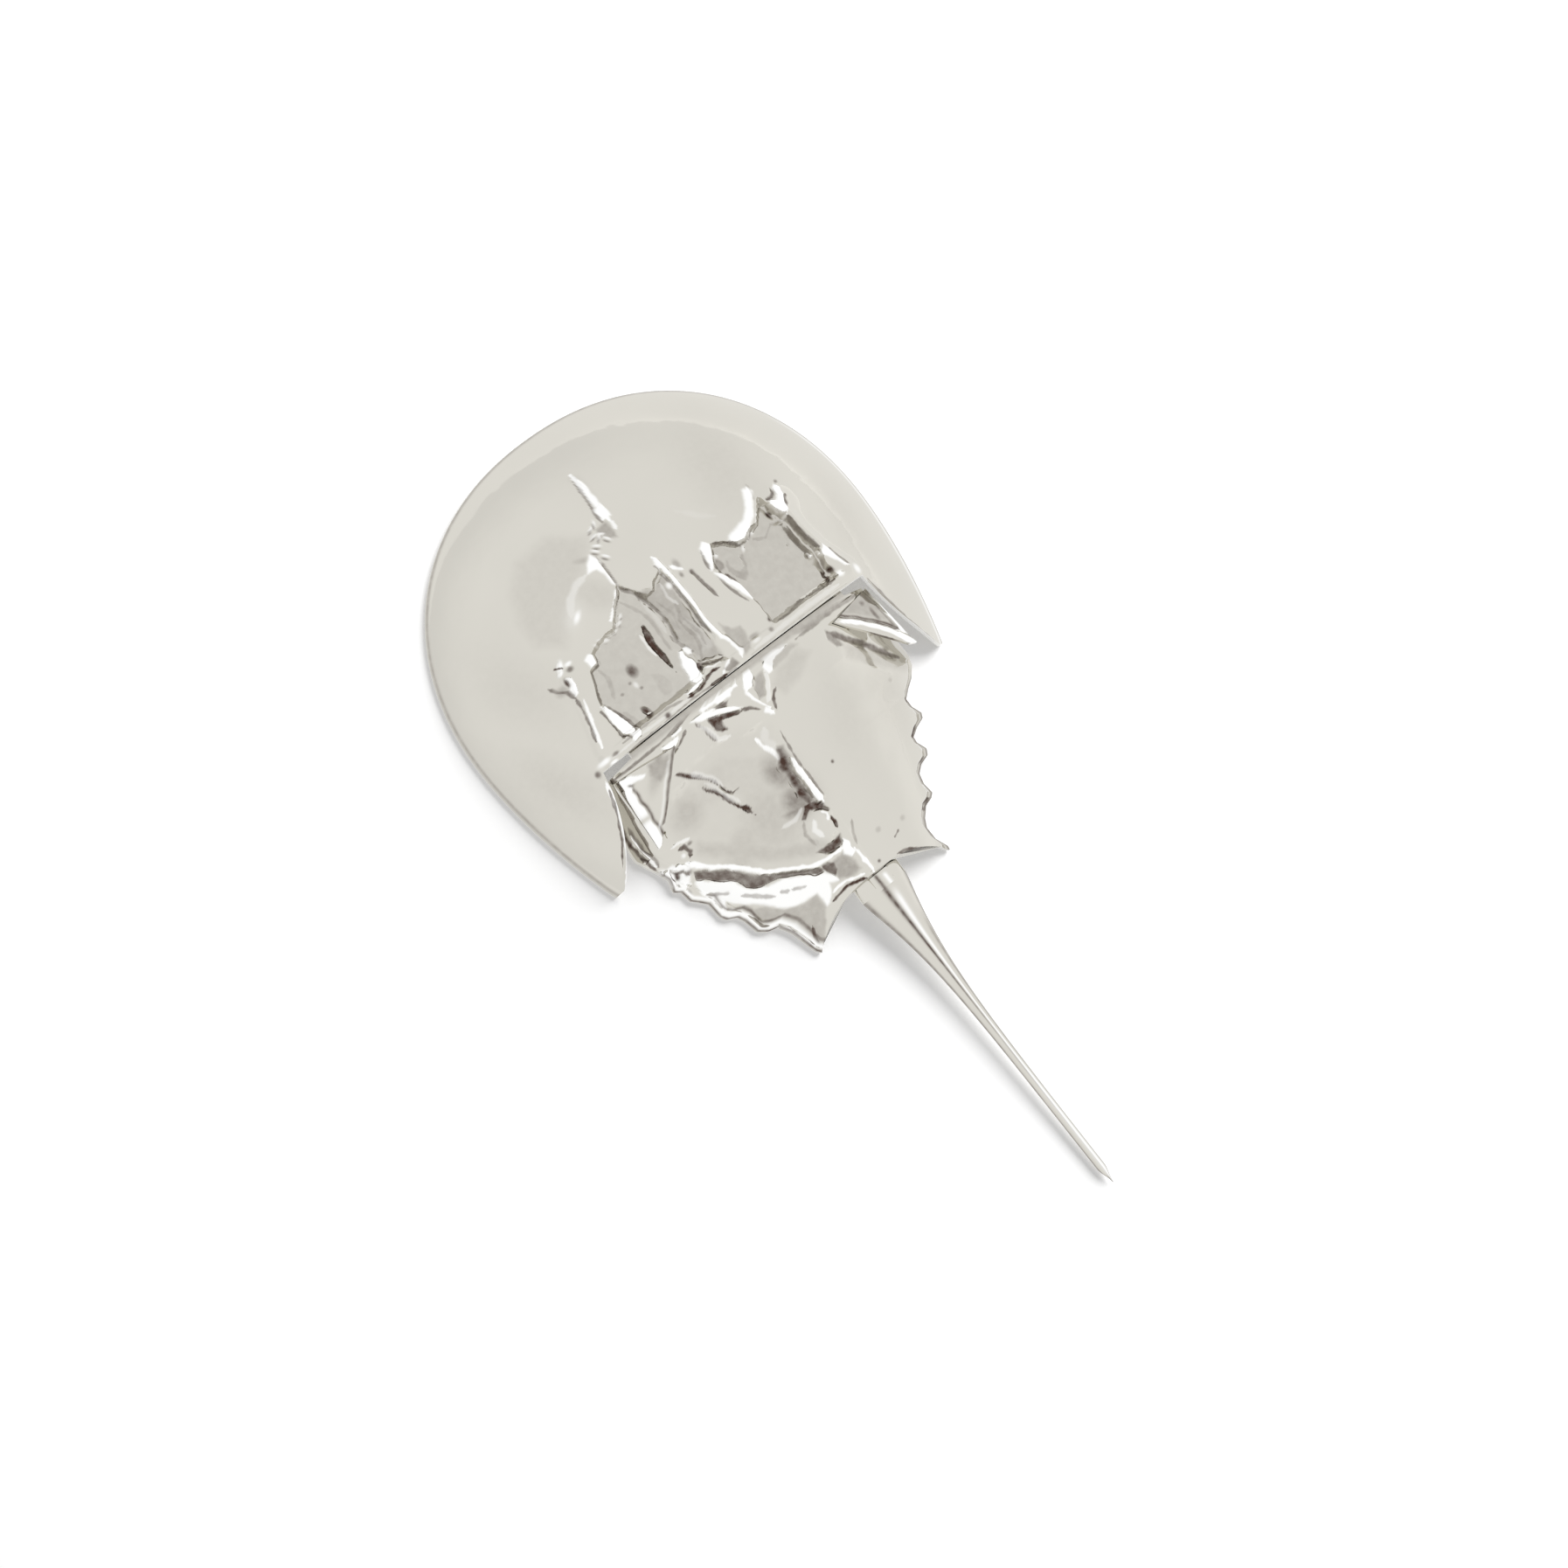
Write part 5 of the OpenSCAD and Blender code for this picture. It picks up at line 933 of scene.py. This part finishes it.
# ---- Side lobes ----
# Two pointed flaps of folded silver that lie over the front corners of the abdomen and point back.
# Each is a thin curled sheet with a painted highlight on its folded edge and a painted shade line inside.
LOBE_ROOT_W, LOBE_GAP, LOBE_T, LOBE_TIP_Z = 9.4, 0.15, 0.9, 8.6
for side, name in [(1, "left"), (-1, "right")]:
    u, v = np.meshgrid(np.linspace(0, 1, 41), np.linspace(0, 1, 61))
    if side > 0:
        root_x, root_y = 15.1 + LOBE_ROOT_W * u, 3.4 - 1.2 * u
        end_x, end_y = 24.2 + 0.9 * u, 13.2 + 0.4 * u
    else:
        root_x, root_y = 15.9 + 9 * u, 3.1 - 1.3 * u
        end_x, end_y = 25 + u, 12.3 + 0.5 * u
    lx, ly = root_x + (end_x - root_x) * v, root_y + (end_y - root_y) * v
    lobe_seat, root_seat = (plain_abdomen(side * at_x, at_y) - dent(side * at_x, at_y) + LOBE_GAP
                            for at_x, at_y in ((lx, ly), (root_x, root_y)))
    lobe_z = np.maximum(lobe_seat + 0.5, (root_seat + 0.5) * (1 - v ** 0.8) + LOBE_TIP_Z * v ** 0.8
                        + 0.6 * np.sin(np.pi * v) * (1 - u))
    flap = Relief(side * lx, ly, lobe_z)
    span = LOBE_ROOT_W * (1 - 0.9 * v)
    from_in = u * span + 0.14 * ripple(side * lx, ly, 1.1, 31)
    from_out = (1 - u) * span + 0.14 * ripple(side * lx, ly, 1.1, 32)
    # painted highlights along the folded edges, painted shade lines and darker patches inside them
    if side > 0:
        flap.bright = (1 - smooth(1.15, 1.4, from_out)) * smooth(0.03, 0.1, v) * (1 - hump(v - 0.6, 0.04))
        flap.dark = np.maximum.reduce([0.85 * hump(from_out - 1.7, 0.22),
                                       0.8 * hump(from_in - 0.3, 0.3) * (v < 0.8),
                                       0.4 * hump(from_in - 2.6, 1.0) * (1 - smooth(0.1, 0.5, v))])
        flap.bright = np.maximum(flap.bright, 0.4 * hump(from_in - 0.95, 0.25) * (v > 0.1))
        flap.height += 0.35 * hump(from_out - 0.6, 0.6) - 0.2 * hump(from_out - 1.7, 0.4)
        flap.patch([(24.4, 2.2), (22.2, 2.8), (20.6, 3.9), (21.2, 4.2), (22.6, 3.8), (23.4, 5),
                    (24, 3.8)], 0.2, 1, 0)
        flap.spot((23, 3.9), (0.5, 0.25), -0.1, 0, 0.9, -30)
        flap.patch([(16.4, 3.6), (19.6, 3), (20.2, 4.6), (19.6, 6.2), (17.2, 5)], -0.15, 0, 0.4, 0.8)
    else:
        from_in = from_in - 1.1 * np.sin(np.pi * v)
        flap.bright = smooth(-0.15, 0.1, from_in) * (1 - smooth(1.4, 1.65, from_in)) * smooth(0.02, 0.08, v)
        flap.bright = np.maximum(flap.bright, (1 - smooth(0.4, 0.6, from_out)) * smooth(0.05, 0.2, v))
        flap.dark = np.maximum.reduce([0.9 * hump(from_in - 1.95, 0.28), 0.6 * hump(from_out - 0.9, 0.25),
                                       0.85 * hump(from_out - 2.2, 0.5) * hump(v - 0.32, 0.12),
                                       0.7 * hump(from_out - 2.8, 0.6) * hump(v - 0.1, 0.06),
                                       0.3 * smooth(2, 3, from_in)])
        flap.patch([(-18.4, 6), (-20.6, 8), (-23, 10.2), (-22.6, 10.5), (-20.2, 8.6), (-18.2, 6.5)],
                   -0.1, 0, 1, 0.2)
        flap.height += 0.45 * hump(from_in - 0.6, 0.6) - 0.25 * hump(from_in - 1.8, 0.4)
    flap.height += 0.05 * ripple(side * lx, ly, 1.2, 12)
    flap_under = np.maximum(lobe_seat, lobe_z - LOBE_T)
    side_lobe = closed_shell(name + "_lobe_flap", np.dstack([side * lx, ly, flap.height]),
                             np.dstack([side * lx, ly, flap_under]),
                             {"worn": flap.bright, "tarnish": flap.dark})
    side_lobe.data.materials.append(mirror_silver)
    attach(side_lobe, "abdomen")
    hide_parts(name + "_side_lobe")


# ---- Tail ----
# A solid silver spike, three-sided with a sharp keel that carries a painted highlight, that drifts a little
# to one side. Its wide root is cast in one with it and holds the cross pin between two cheeks.
PIN_Y, PIN_Z, ROOT_W, THIN_W, TIP_Z, TAIL_DRIFT = 35.6, 3.7, 4.2, 0.72, 0.97, 0.8
CHEEK_X, CHEEK_R, ROOF_IN, ROOF_OUT, ROOT_H = 1.69, 1.25, 1.4, 1.72, 1.81
spike_y = PIN_Y + CHEEK_R + 0.35 + 1.2
far = np.concatenate([np.linspace(0, 14, 50)[:-1], np.linspace(14, TAIL_END - spike_y, 120)])
share = far / (TAIL_END - spike_y)
tip = smooth(0, 3, TAIL_END - spike_y - far) * 0.9 + 0.1
wide = (THIN_W + (ROOT_W - THIN_W) * np.exp(-(far / 11) ** 1.2)) * tip
up = 0.12 * tip + 0.33 * wide + 0.42 * np.minimum(wide, THIN_W)
line_z = PIN_Z + (TIP_Z - PIN_Z) * share ** 0.8
round_about = np.radians(np.arange(0, 360, 3))
ring_x, ring_z = np.cos(round_about), np.sin(round_about)
keeled_z = np.where(ring_z >= 0, np.abs(ring_z) ** 1.5, -np.abs(ring_z) ** 0.8)
spike_rings = np.stack([wide[:, None] * ring_x - TAIL_DRIFT * (share ** 1.3)[:, None],
                        np.broadcast_to((spike_y + far)[:, None], (len(far), len(round_about))),
                        line_z[:, None] + up[:, None] * keeled_z], 2)


def closed_tube(name, rings, masks):
    """A closed mesh through rings of points in millimetres."""
    count, around = rings.shape[:2]
    points = (rings.reshape(-1, 3) - (0, MIDDLE_Y, 0)) / 1000
    faces = []
    for i in range(count - 1):
        for j in range(around):
            k = (j + 1) % around
            faces.append((i * around + j, i * around + k, (i + 1) * around + k, (i + 1) * around + j))
    faces.append(tuple(range(around))[::-1])
    faces.append(tuple((count - 1) * around + j for j in range(around)))
    mesh = bpy.data.meshes.new(name)
    mesh.from_pydata(points.tolist(), [], faces)
    for label, values in masks.items():
        mask = mesh.attributes.new(label, "FLOAT", "POINT")
        mask.data.foreach_set("value", np.clip(values, 0, 1).astype(np.float32).ravel())
    mesh.shade_smooth()
    mesh.set_sharp_from_angle(angle=math.radians(50))
    piece = bpy.data.objects.new(name, mesh)
    bpy.context.scene.collection.objects.link(piece)
    return piece


# a painted highlight along the keel with a painted shade line beside it; painted shade on the two lower
# edges and the tip
lengthwise = spike_rings[..., 1] - spike_y
sideways = np.broadcast_to(ring_x, lengthwise.shape)
on_top = ring_z > 0
keel_width = 0.12 + 0.25 * smooth(20, 50, lengthwise)
keel_bright = hump(sideways + 0.12, keel_width) * on_top * smooth(0, 3, lengthwise)
keel_dark = np.maximum.reduce([
    0.95 * hump(sideways - 0.16, 0.1) * on_top * (1 - 0.6 * smooth(12, 30, lengthwise)),
    0.5 * hump(sideways + 0.75, 0.15) * on_top * smooth(4, 12, lengthwise),
    0.6 * hump(np.abs(sideways) - 0.97, 0.09),
    0.7 * smooth(-1.6, -0.4, lengthwise - (TAIL_END - spike_y))])
tail_spike = closed_tube("tail_spike_cast", spike_rings, {"worn": keel_bright, "tarnish": keel_dark})
tail_spike.data.materials.append(mirror_silver)
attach(tail_spike, "tail")
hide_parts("tail_spike")


# the root: two rounded cheeks over the cross pin, joined by a curved roof behind the swivel block
def root_section(across_x):
    """Upper and lower outline of the tail root, front to rear, at one place across it."""
    rounding = max(0.0, 1 - (across_x / ROOT_W) ** 2)
    rear_top, rear_low = PIN_Z + ROOT_H * rounding ** 0.75, PIN_Z - ROOT_H * rounding ** 0.4
    backward = np.linspace(0, 1, 25)
    ease = smooth(0, 1, backward)
    if abs(across_x) > CHEEK_X:
        r = CHEEK_R * max(0.0, 1 - ((abs(across_x) - CHEEK_X) / (ROOT_W - CHEEK_X)) ** 3) ** 0.5
        turn_r = np.radians(np.linspace(-90, 0, 16))[:-1]
        upper_y = np.concatenate([PIN_Y + r * np.sin(turn_r), PIN_Y + (spike_y - PIN_Y) * backward])
        upper_z = np.concatenate([PIN_Z + r * np.cos(turn_r), PIN_Z + r + (rear_top - PIN_Z - r) * ease])
        low_z = np.concatenate([PIN_Z - r * np.cos(turn_r), PIN_Z - r + (rear_low - PIN_Z + r) * ease])
        return upper_y, upper_z, upper_y, low_z
    start = math.radians(14)
    r = np.linspace(ROOF_IN, ROOF_OUT, 16)[:-1]
    first_y, first_z = PIN_Y + ROOF_OUT * math.sin(start), PIN_Z + ROOF_OUT * math.cos(start)
    upper_y = np.concatenate([PIN_Y + r * math.sin(start), first_y + (spike_y - first_y) * backward])
    upper_z = np.concatenate([PIN_Z + r * math.cos(start), first_z + (rear_top - first_z) * ease])
    turn_r = np.linspace(start, math.radians(150), 30)
    last_y, last_z = PIN_Y + ROOF_IN * math.sin(turn_r[-1]), PIN_Z + ROOF_IN * math.cos(turn_r[-1])
    t = np.linspace(0, 1, 11)[1:]
    low_y = np.concatenate([PIN_Y + ROOF_IN * np.sin(turn_r), last_y + (spike_y - last_y) * t])
    low_z = np.concatenate([PIN_Z + ROOF_IN * np.cos(turn_r), last_z + (rear_low - last_z) * t])
    return upper_y, upper_z, low_y, low_z


cheek_x = np.linspace(CHEEK_X + 0.01, ROOT_W - 0.01, 30)
root_x = np.concatenate([-cheek_x[::-1], np.linspace(0.01 - CHEEK_X, CHEEK_X - 0.01, 25), cheek_x])
root_top, root_low = [], []
for across_x in root_x:
    upper_y, upper_z, low_y, low_z = root_section(across_x)
    root_top.append(np.stack([np.full(len(upper_y), across_x), upper_y, upper_z], 1))
    root_low.append(np.stack([np.full(len(low_y), across_x), low_y, low_z], 1))
root_top, root_low = np.array(root_top), np.array(root_low)
over_x, over_y = root_top[..., 0], root_top[..., 1]
# a painted highlight along one side of the roof, painted shade beside it and at the cheeks' fronts
tail_root = closed_shell(
    "tail_root_cast", root_top, root_low,
    {"worn": hump(over_x + 0.75, 0.35) * smooth(36.2, 37, over_y),
     "tarnish": np.maximum(0.95 * hump(over_x - 0.6, 0.3) * smooth(35.6, 36.4, over_y),
                           0.6 * hump(over_y - 35.2, 0.5) * (np.abs(over_x) > CHEEK_X))})
tail_root.data.materials.append(mirror_silver)
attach(tail_root, "tail")
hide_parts("tail_fork")


# ---- Legs and pincers ----
# Five pairs of walking legs and the small front pair of pincers, cast in darker silver and only tumbled,
# not polished. Each leg has a thick upper part, two knees, a shin and a two-fingered claw.
cast_silver = silver("cast_silver", True, wave=0.0004, Silver=(0.50, 0.48, 0.44, 1), Gloss=0.24,
                     Cloud_Size=420.0, Cloud_Depth=0.16)
LEG_ROOT_X, LAST_LEG_Y, LEG_PITCH, LEG_R, LEG_REACH = 2.4, 9.6, 3.6, 1.5, 23
LEG_ANGLES, LEG_SHARES = (52, 34, 17, 2, -9), (0.78, 0.86, 0.93, 1, 1)
# along a leg: share of its reach, height in millimetres, and thickness as a share of the root's
LEG_FORM = [(0, 5.6, 1), (0.1, 5.5, 1.02), (0.2, 5.25, 0.9), (0.32, 5, 0.84), (0.36, 5, 0.94),
            (0.5, 4.8, 0.84), (0.62, 4.4, 0.64), (0.66, 4.2, 0.74), (0.78, 3.3, 0.62), (0.87, 2.4, 0.42),
            (0.94, 1.7, 0.5), (1, 1.1, 0.2)]
# the knees as shares of the reach, the path point where the claw parts, and its opening in degrees
LEG_KNEES, CLAW_AT, CLAW_OPEN = (0.34, 0.64, 0.86), 9, 14
FINGER_FORM = (0.36, 0.42, 0.2)
# along a pincer: distance out, height and thickness, all in millimetres
PINCER_FORM = [(-1.4, 6.05, 1), (0.6, 6.05, 1.05), (2, 5.8, 0.8), (3.4, 5.3, 0.85), (4.8, 4.5, 0.6),
               (5.6, 3.9, 0.25)]
PINCER_KNEES, PINCER_X, PINCER_ANGLE = (2.6, 4.2), 1.5, 78


def limb(name, path, radii, root, angle, side, knees=()):
    """A round jointed limb through points of distance and height, swung out from its root."""
    path, radii = np.array(path, float), np.array(radii, float)
    stations = np.arange(6 * len(path) - 5) / 6
    index = np.arange(len(path))
    out, up, r = (np.interp(stations, index, v) for v in (path[:, 0], path[:, 1], radii))
    out, up, r = (np.convolve(np.pad(v, 2, "edge"), (0.1, 0.2, 0.4, 0.2, 0.1), "valid")
                  for v in (out, up, r))
    groove = sum((hump(out - k, 0.22) for k in knees), np.zeros_like(out))
    r = np.maximum(r * (1 - 0.16 * groove) - 0.02, 0.12)
    d_out, d_up = np.gradient(out), np.gradient(up)
    length = np.hypot(d_out, d_up)
    d_out, d_up = d_out / length, d_up / length
    a = np.radians(np.arange(0, 360, 15))
    px = out[:, None] - (d_up * r)[:, None] * np.sin(a)
    py = r[:, None] * np.cos(a)
    pz = up[:, None] + (d_out * r)[:, None] * np.sin(a)
    c, sn = math.cos(math.radians(angle)), math.sin(math.radians(angle))
    rings = np.stack([side * (root[0] + px * c + py * sn), root[1] - px * sn + py * c, pz], 2)
    # darker in the knee grooves and a little darker all over, with a painted highlight along the underside
    knee_darkening = np.broadcast_to(0.8 * groove[:, None] + 0.12, px.shape)
    piece = closed_tube(name, rings, {"worn": 0.4 * (np.sin(a) < -0.8) * (1 - knee_darkening), "tarnish": knee_darkening})
    piece.data.materials.append(cast_silver)
    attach(piece, "head")
    return piece


for side, word in [(1, "left"), (-1, "right")]:
    for i in range(5):
        reach = LEG_REACH * LEG_SHARES[i]
        path = [(f[0] * reach, f[1]) for f in LEG_FORM]
        root = (LEG_ROOT_X, -LAST_LEG_Y - (4 - i) * LEG_PITCH)
        leg = limb("%s_leg_%d_cast" % (word, i + 1), path, [f[2] * LEG_R for f in LEG_FORM], root,
                   LEG_ANGLES[i], side, [knee * reach for knee in LEG_KNEES])
        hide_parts("%s_leg_%d" % (word, i + 1))
        # the second finger of the claw
        hinge_out = path[CLAW_AT][0]
        c, sn = math.cos(math.radians(LEG_ANGLES[i])), math.sin(math.radians(LEG_ANGLES[i]))
        finger_root = (root[0] + hinge_out * c + 0.1 * sn, root[1] - hinge_out * sn + 0.1 * c)
        limb("%s_claw_%d_finger" % (word, i + 1), [(p[0] - hinge_out, p[1]) for p in path[CLAW_AT:]],
             [share * LEG_R for share in FINGER_FORM], finger_root, LEG_ANGLES[i] - CLAW_OPEN, side)
    pincer_root = (PINCER_X, -LAST_LEG_Y - 4 * LEG_PITCH - 2.4 * LEG_R)
    pincer = limb(word + "_pincer_cast", [f[:2] for f in PINCER_FORM], [f[2] for f in PINCER_FORM],
                  pincer_root, PINCER_ANGLE, side, PINCER_KNEES)
    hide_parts(word + "_chelicera")


# ---- Gills ----
# A broad cover and five leaves of thin cast silver that overlap like roof tiles. Fine curved lines
# follow the round rear edge of each leaf, with painted shade in their grooves and painted highlights on
# their crests.
GILL_TOP, GILL_T, GILL_TILT, GILL_Y, GILL_PITCH, GILL_LINES = 4.5, 0.6, math.radians(24), 3.8, 3.93, 0.55
COVER_W, COVER_LEN, LEAF_W, LEAF_NARROWS, LEAF_LEN = 14.2, 6.2, 13.6, 1.14, 5.2
for i in range(6):
    half, length = (COVER_W, COVER_LEN) if i == 0 else (LEAF_W - LEAF_NARROWS * i, LEAF_LEN)
    arc = (half * half + length * length) / (2 * length)
    gx = np.linspace(-0.99, 0.99, 121)[:, None] * half * np.ones((1, 37))
    reach = length - arc + np.sqrt(arc * arc - gx * gx)
    along = np.linspace(0, 1, 37)[None, :] * reach
    lines = np.sin((reach - along) * 2 * math.pi / GILL_LINES)
    leaf_low = np.minimum(0.10 + 0.07 * lines + 0.12 * hump(gx, 0.5), GILL_T - 0.2)

    def tilted(h):
        """Points of the leaf at that height over its lower face."""
        y = GILL_Y + i * GILL_PITCH + along * math.cos(GILL_TILT) + h * math.sin(GILL_TILT)
        z = GILL_TOP - GILL_T - along * math.sin(GILL_TILT) + h * math.cos(GILL_TILT)
        return np.dstack([gx, y, z])

    leaf_name = "gill_cover" if i == 0 else "gill_flap_%d" % i
    gill_leaf = closed_shell(leaf_name + "_cast", tilted(leaf_low), tilted(GILL_T + 0 * along),
                             {"worn": 0.5 * smooth(-0.2, -0.9, lines) * (reach - along > 0.3),
                              "tarnish": 0.12 + 0.6 * smooth(0.3, 0.95, lines)})
    gill_leaf.data.materials.append(cast_silver)
    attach(gill_leaf, "abdomen")
    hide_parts(leaf_name)


# ---- Inner frame ----
# Carrier plates, posts, hinge arms, chilaria, tail bracket and swivel block, milled from nickel silver
# and left with a fine satin grain. They stay the plain solids that they are.
satin_silver = silver("satin_silver", False, wave=0.0002, Silver=(0.50, 0.48, 0.44, 1), Gloss=0.3,
                      Cloud_Size=260.0, Cloud_Depth=0.12)
for name in ("leg_plate", "plate_posts", "left_head_arm", "right_head_arm", "gill_plate", "gill_posts",
             "left_abdomen_arm", "right_abdomen_arm", "tail_bracket", "swivel_block", "chilaria"):
    node = frame["nodes"][name]
    node.data.materials.clear()
    node.data.materials.append(satin_silver)


# ---- Pins and screws ----
# Turned steel: the hinge axle with its riveted ends, the two tail pins and the slotted plate screws.
# They have a bright brushed skin.
pin_steel = silver("turned_steel", False, wave=0.0001, Silver=(0.55, 0.56, 0.57, 1), Gloss=0.22,
                   Cloud_Size=900.0, Cloud_Depth=0.1)
for name in ("hinge_axle", "swivel_pin", "tail_pin", "plate_screws", "gill_screws"):
    node = frame["nodes"][name]
    node.data.materials.clear()
    node.data.materials.append(pin_steel)
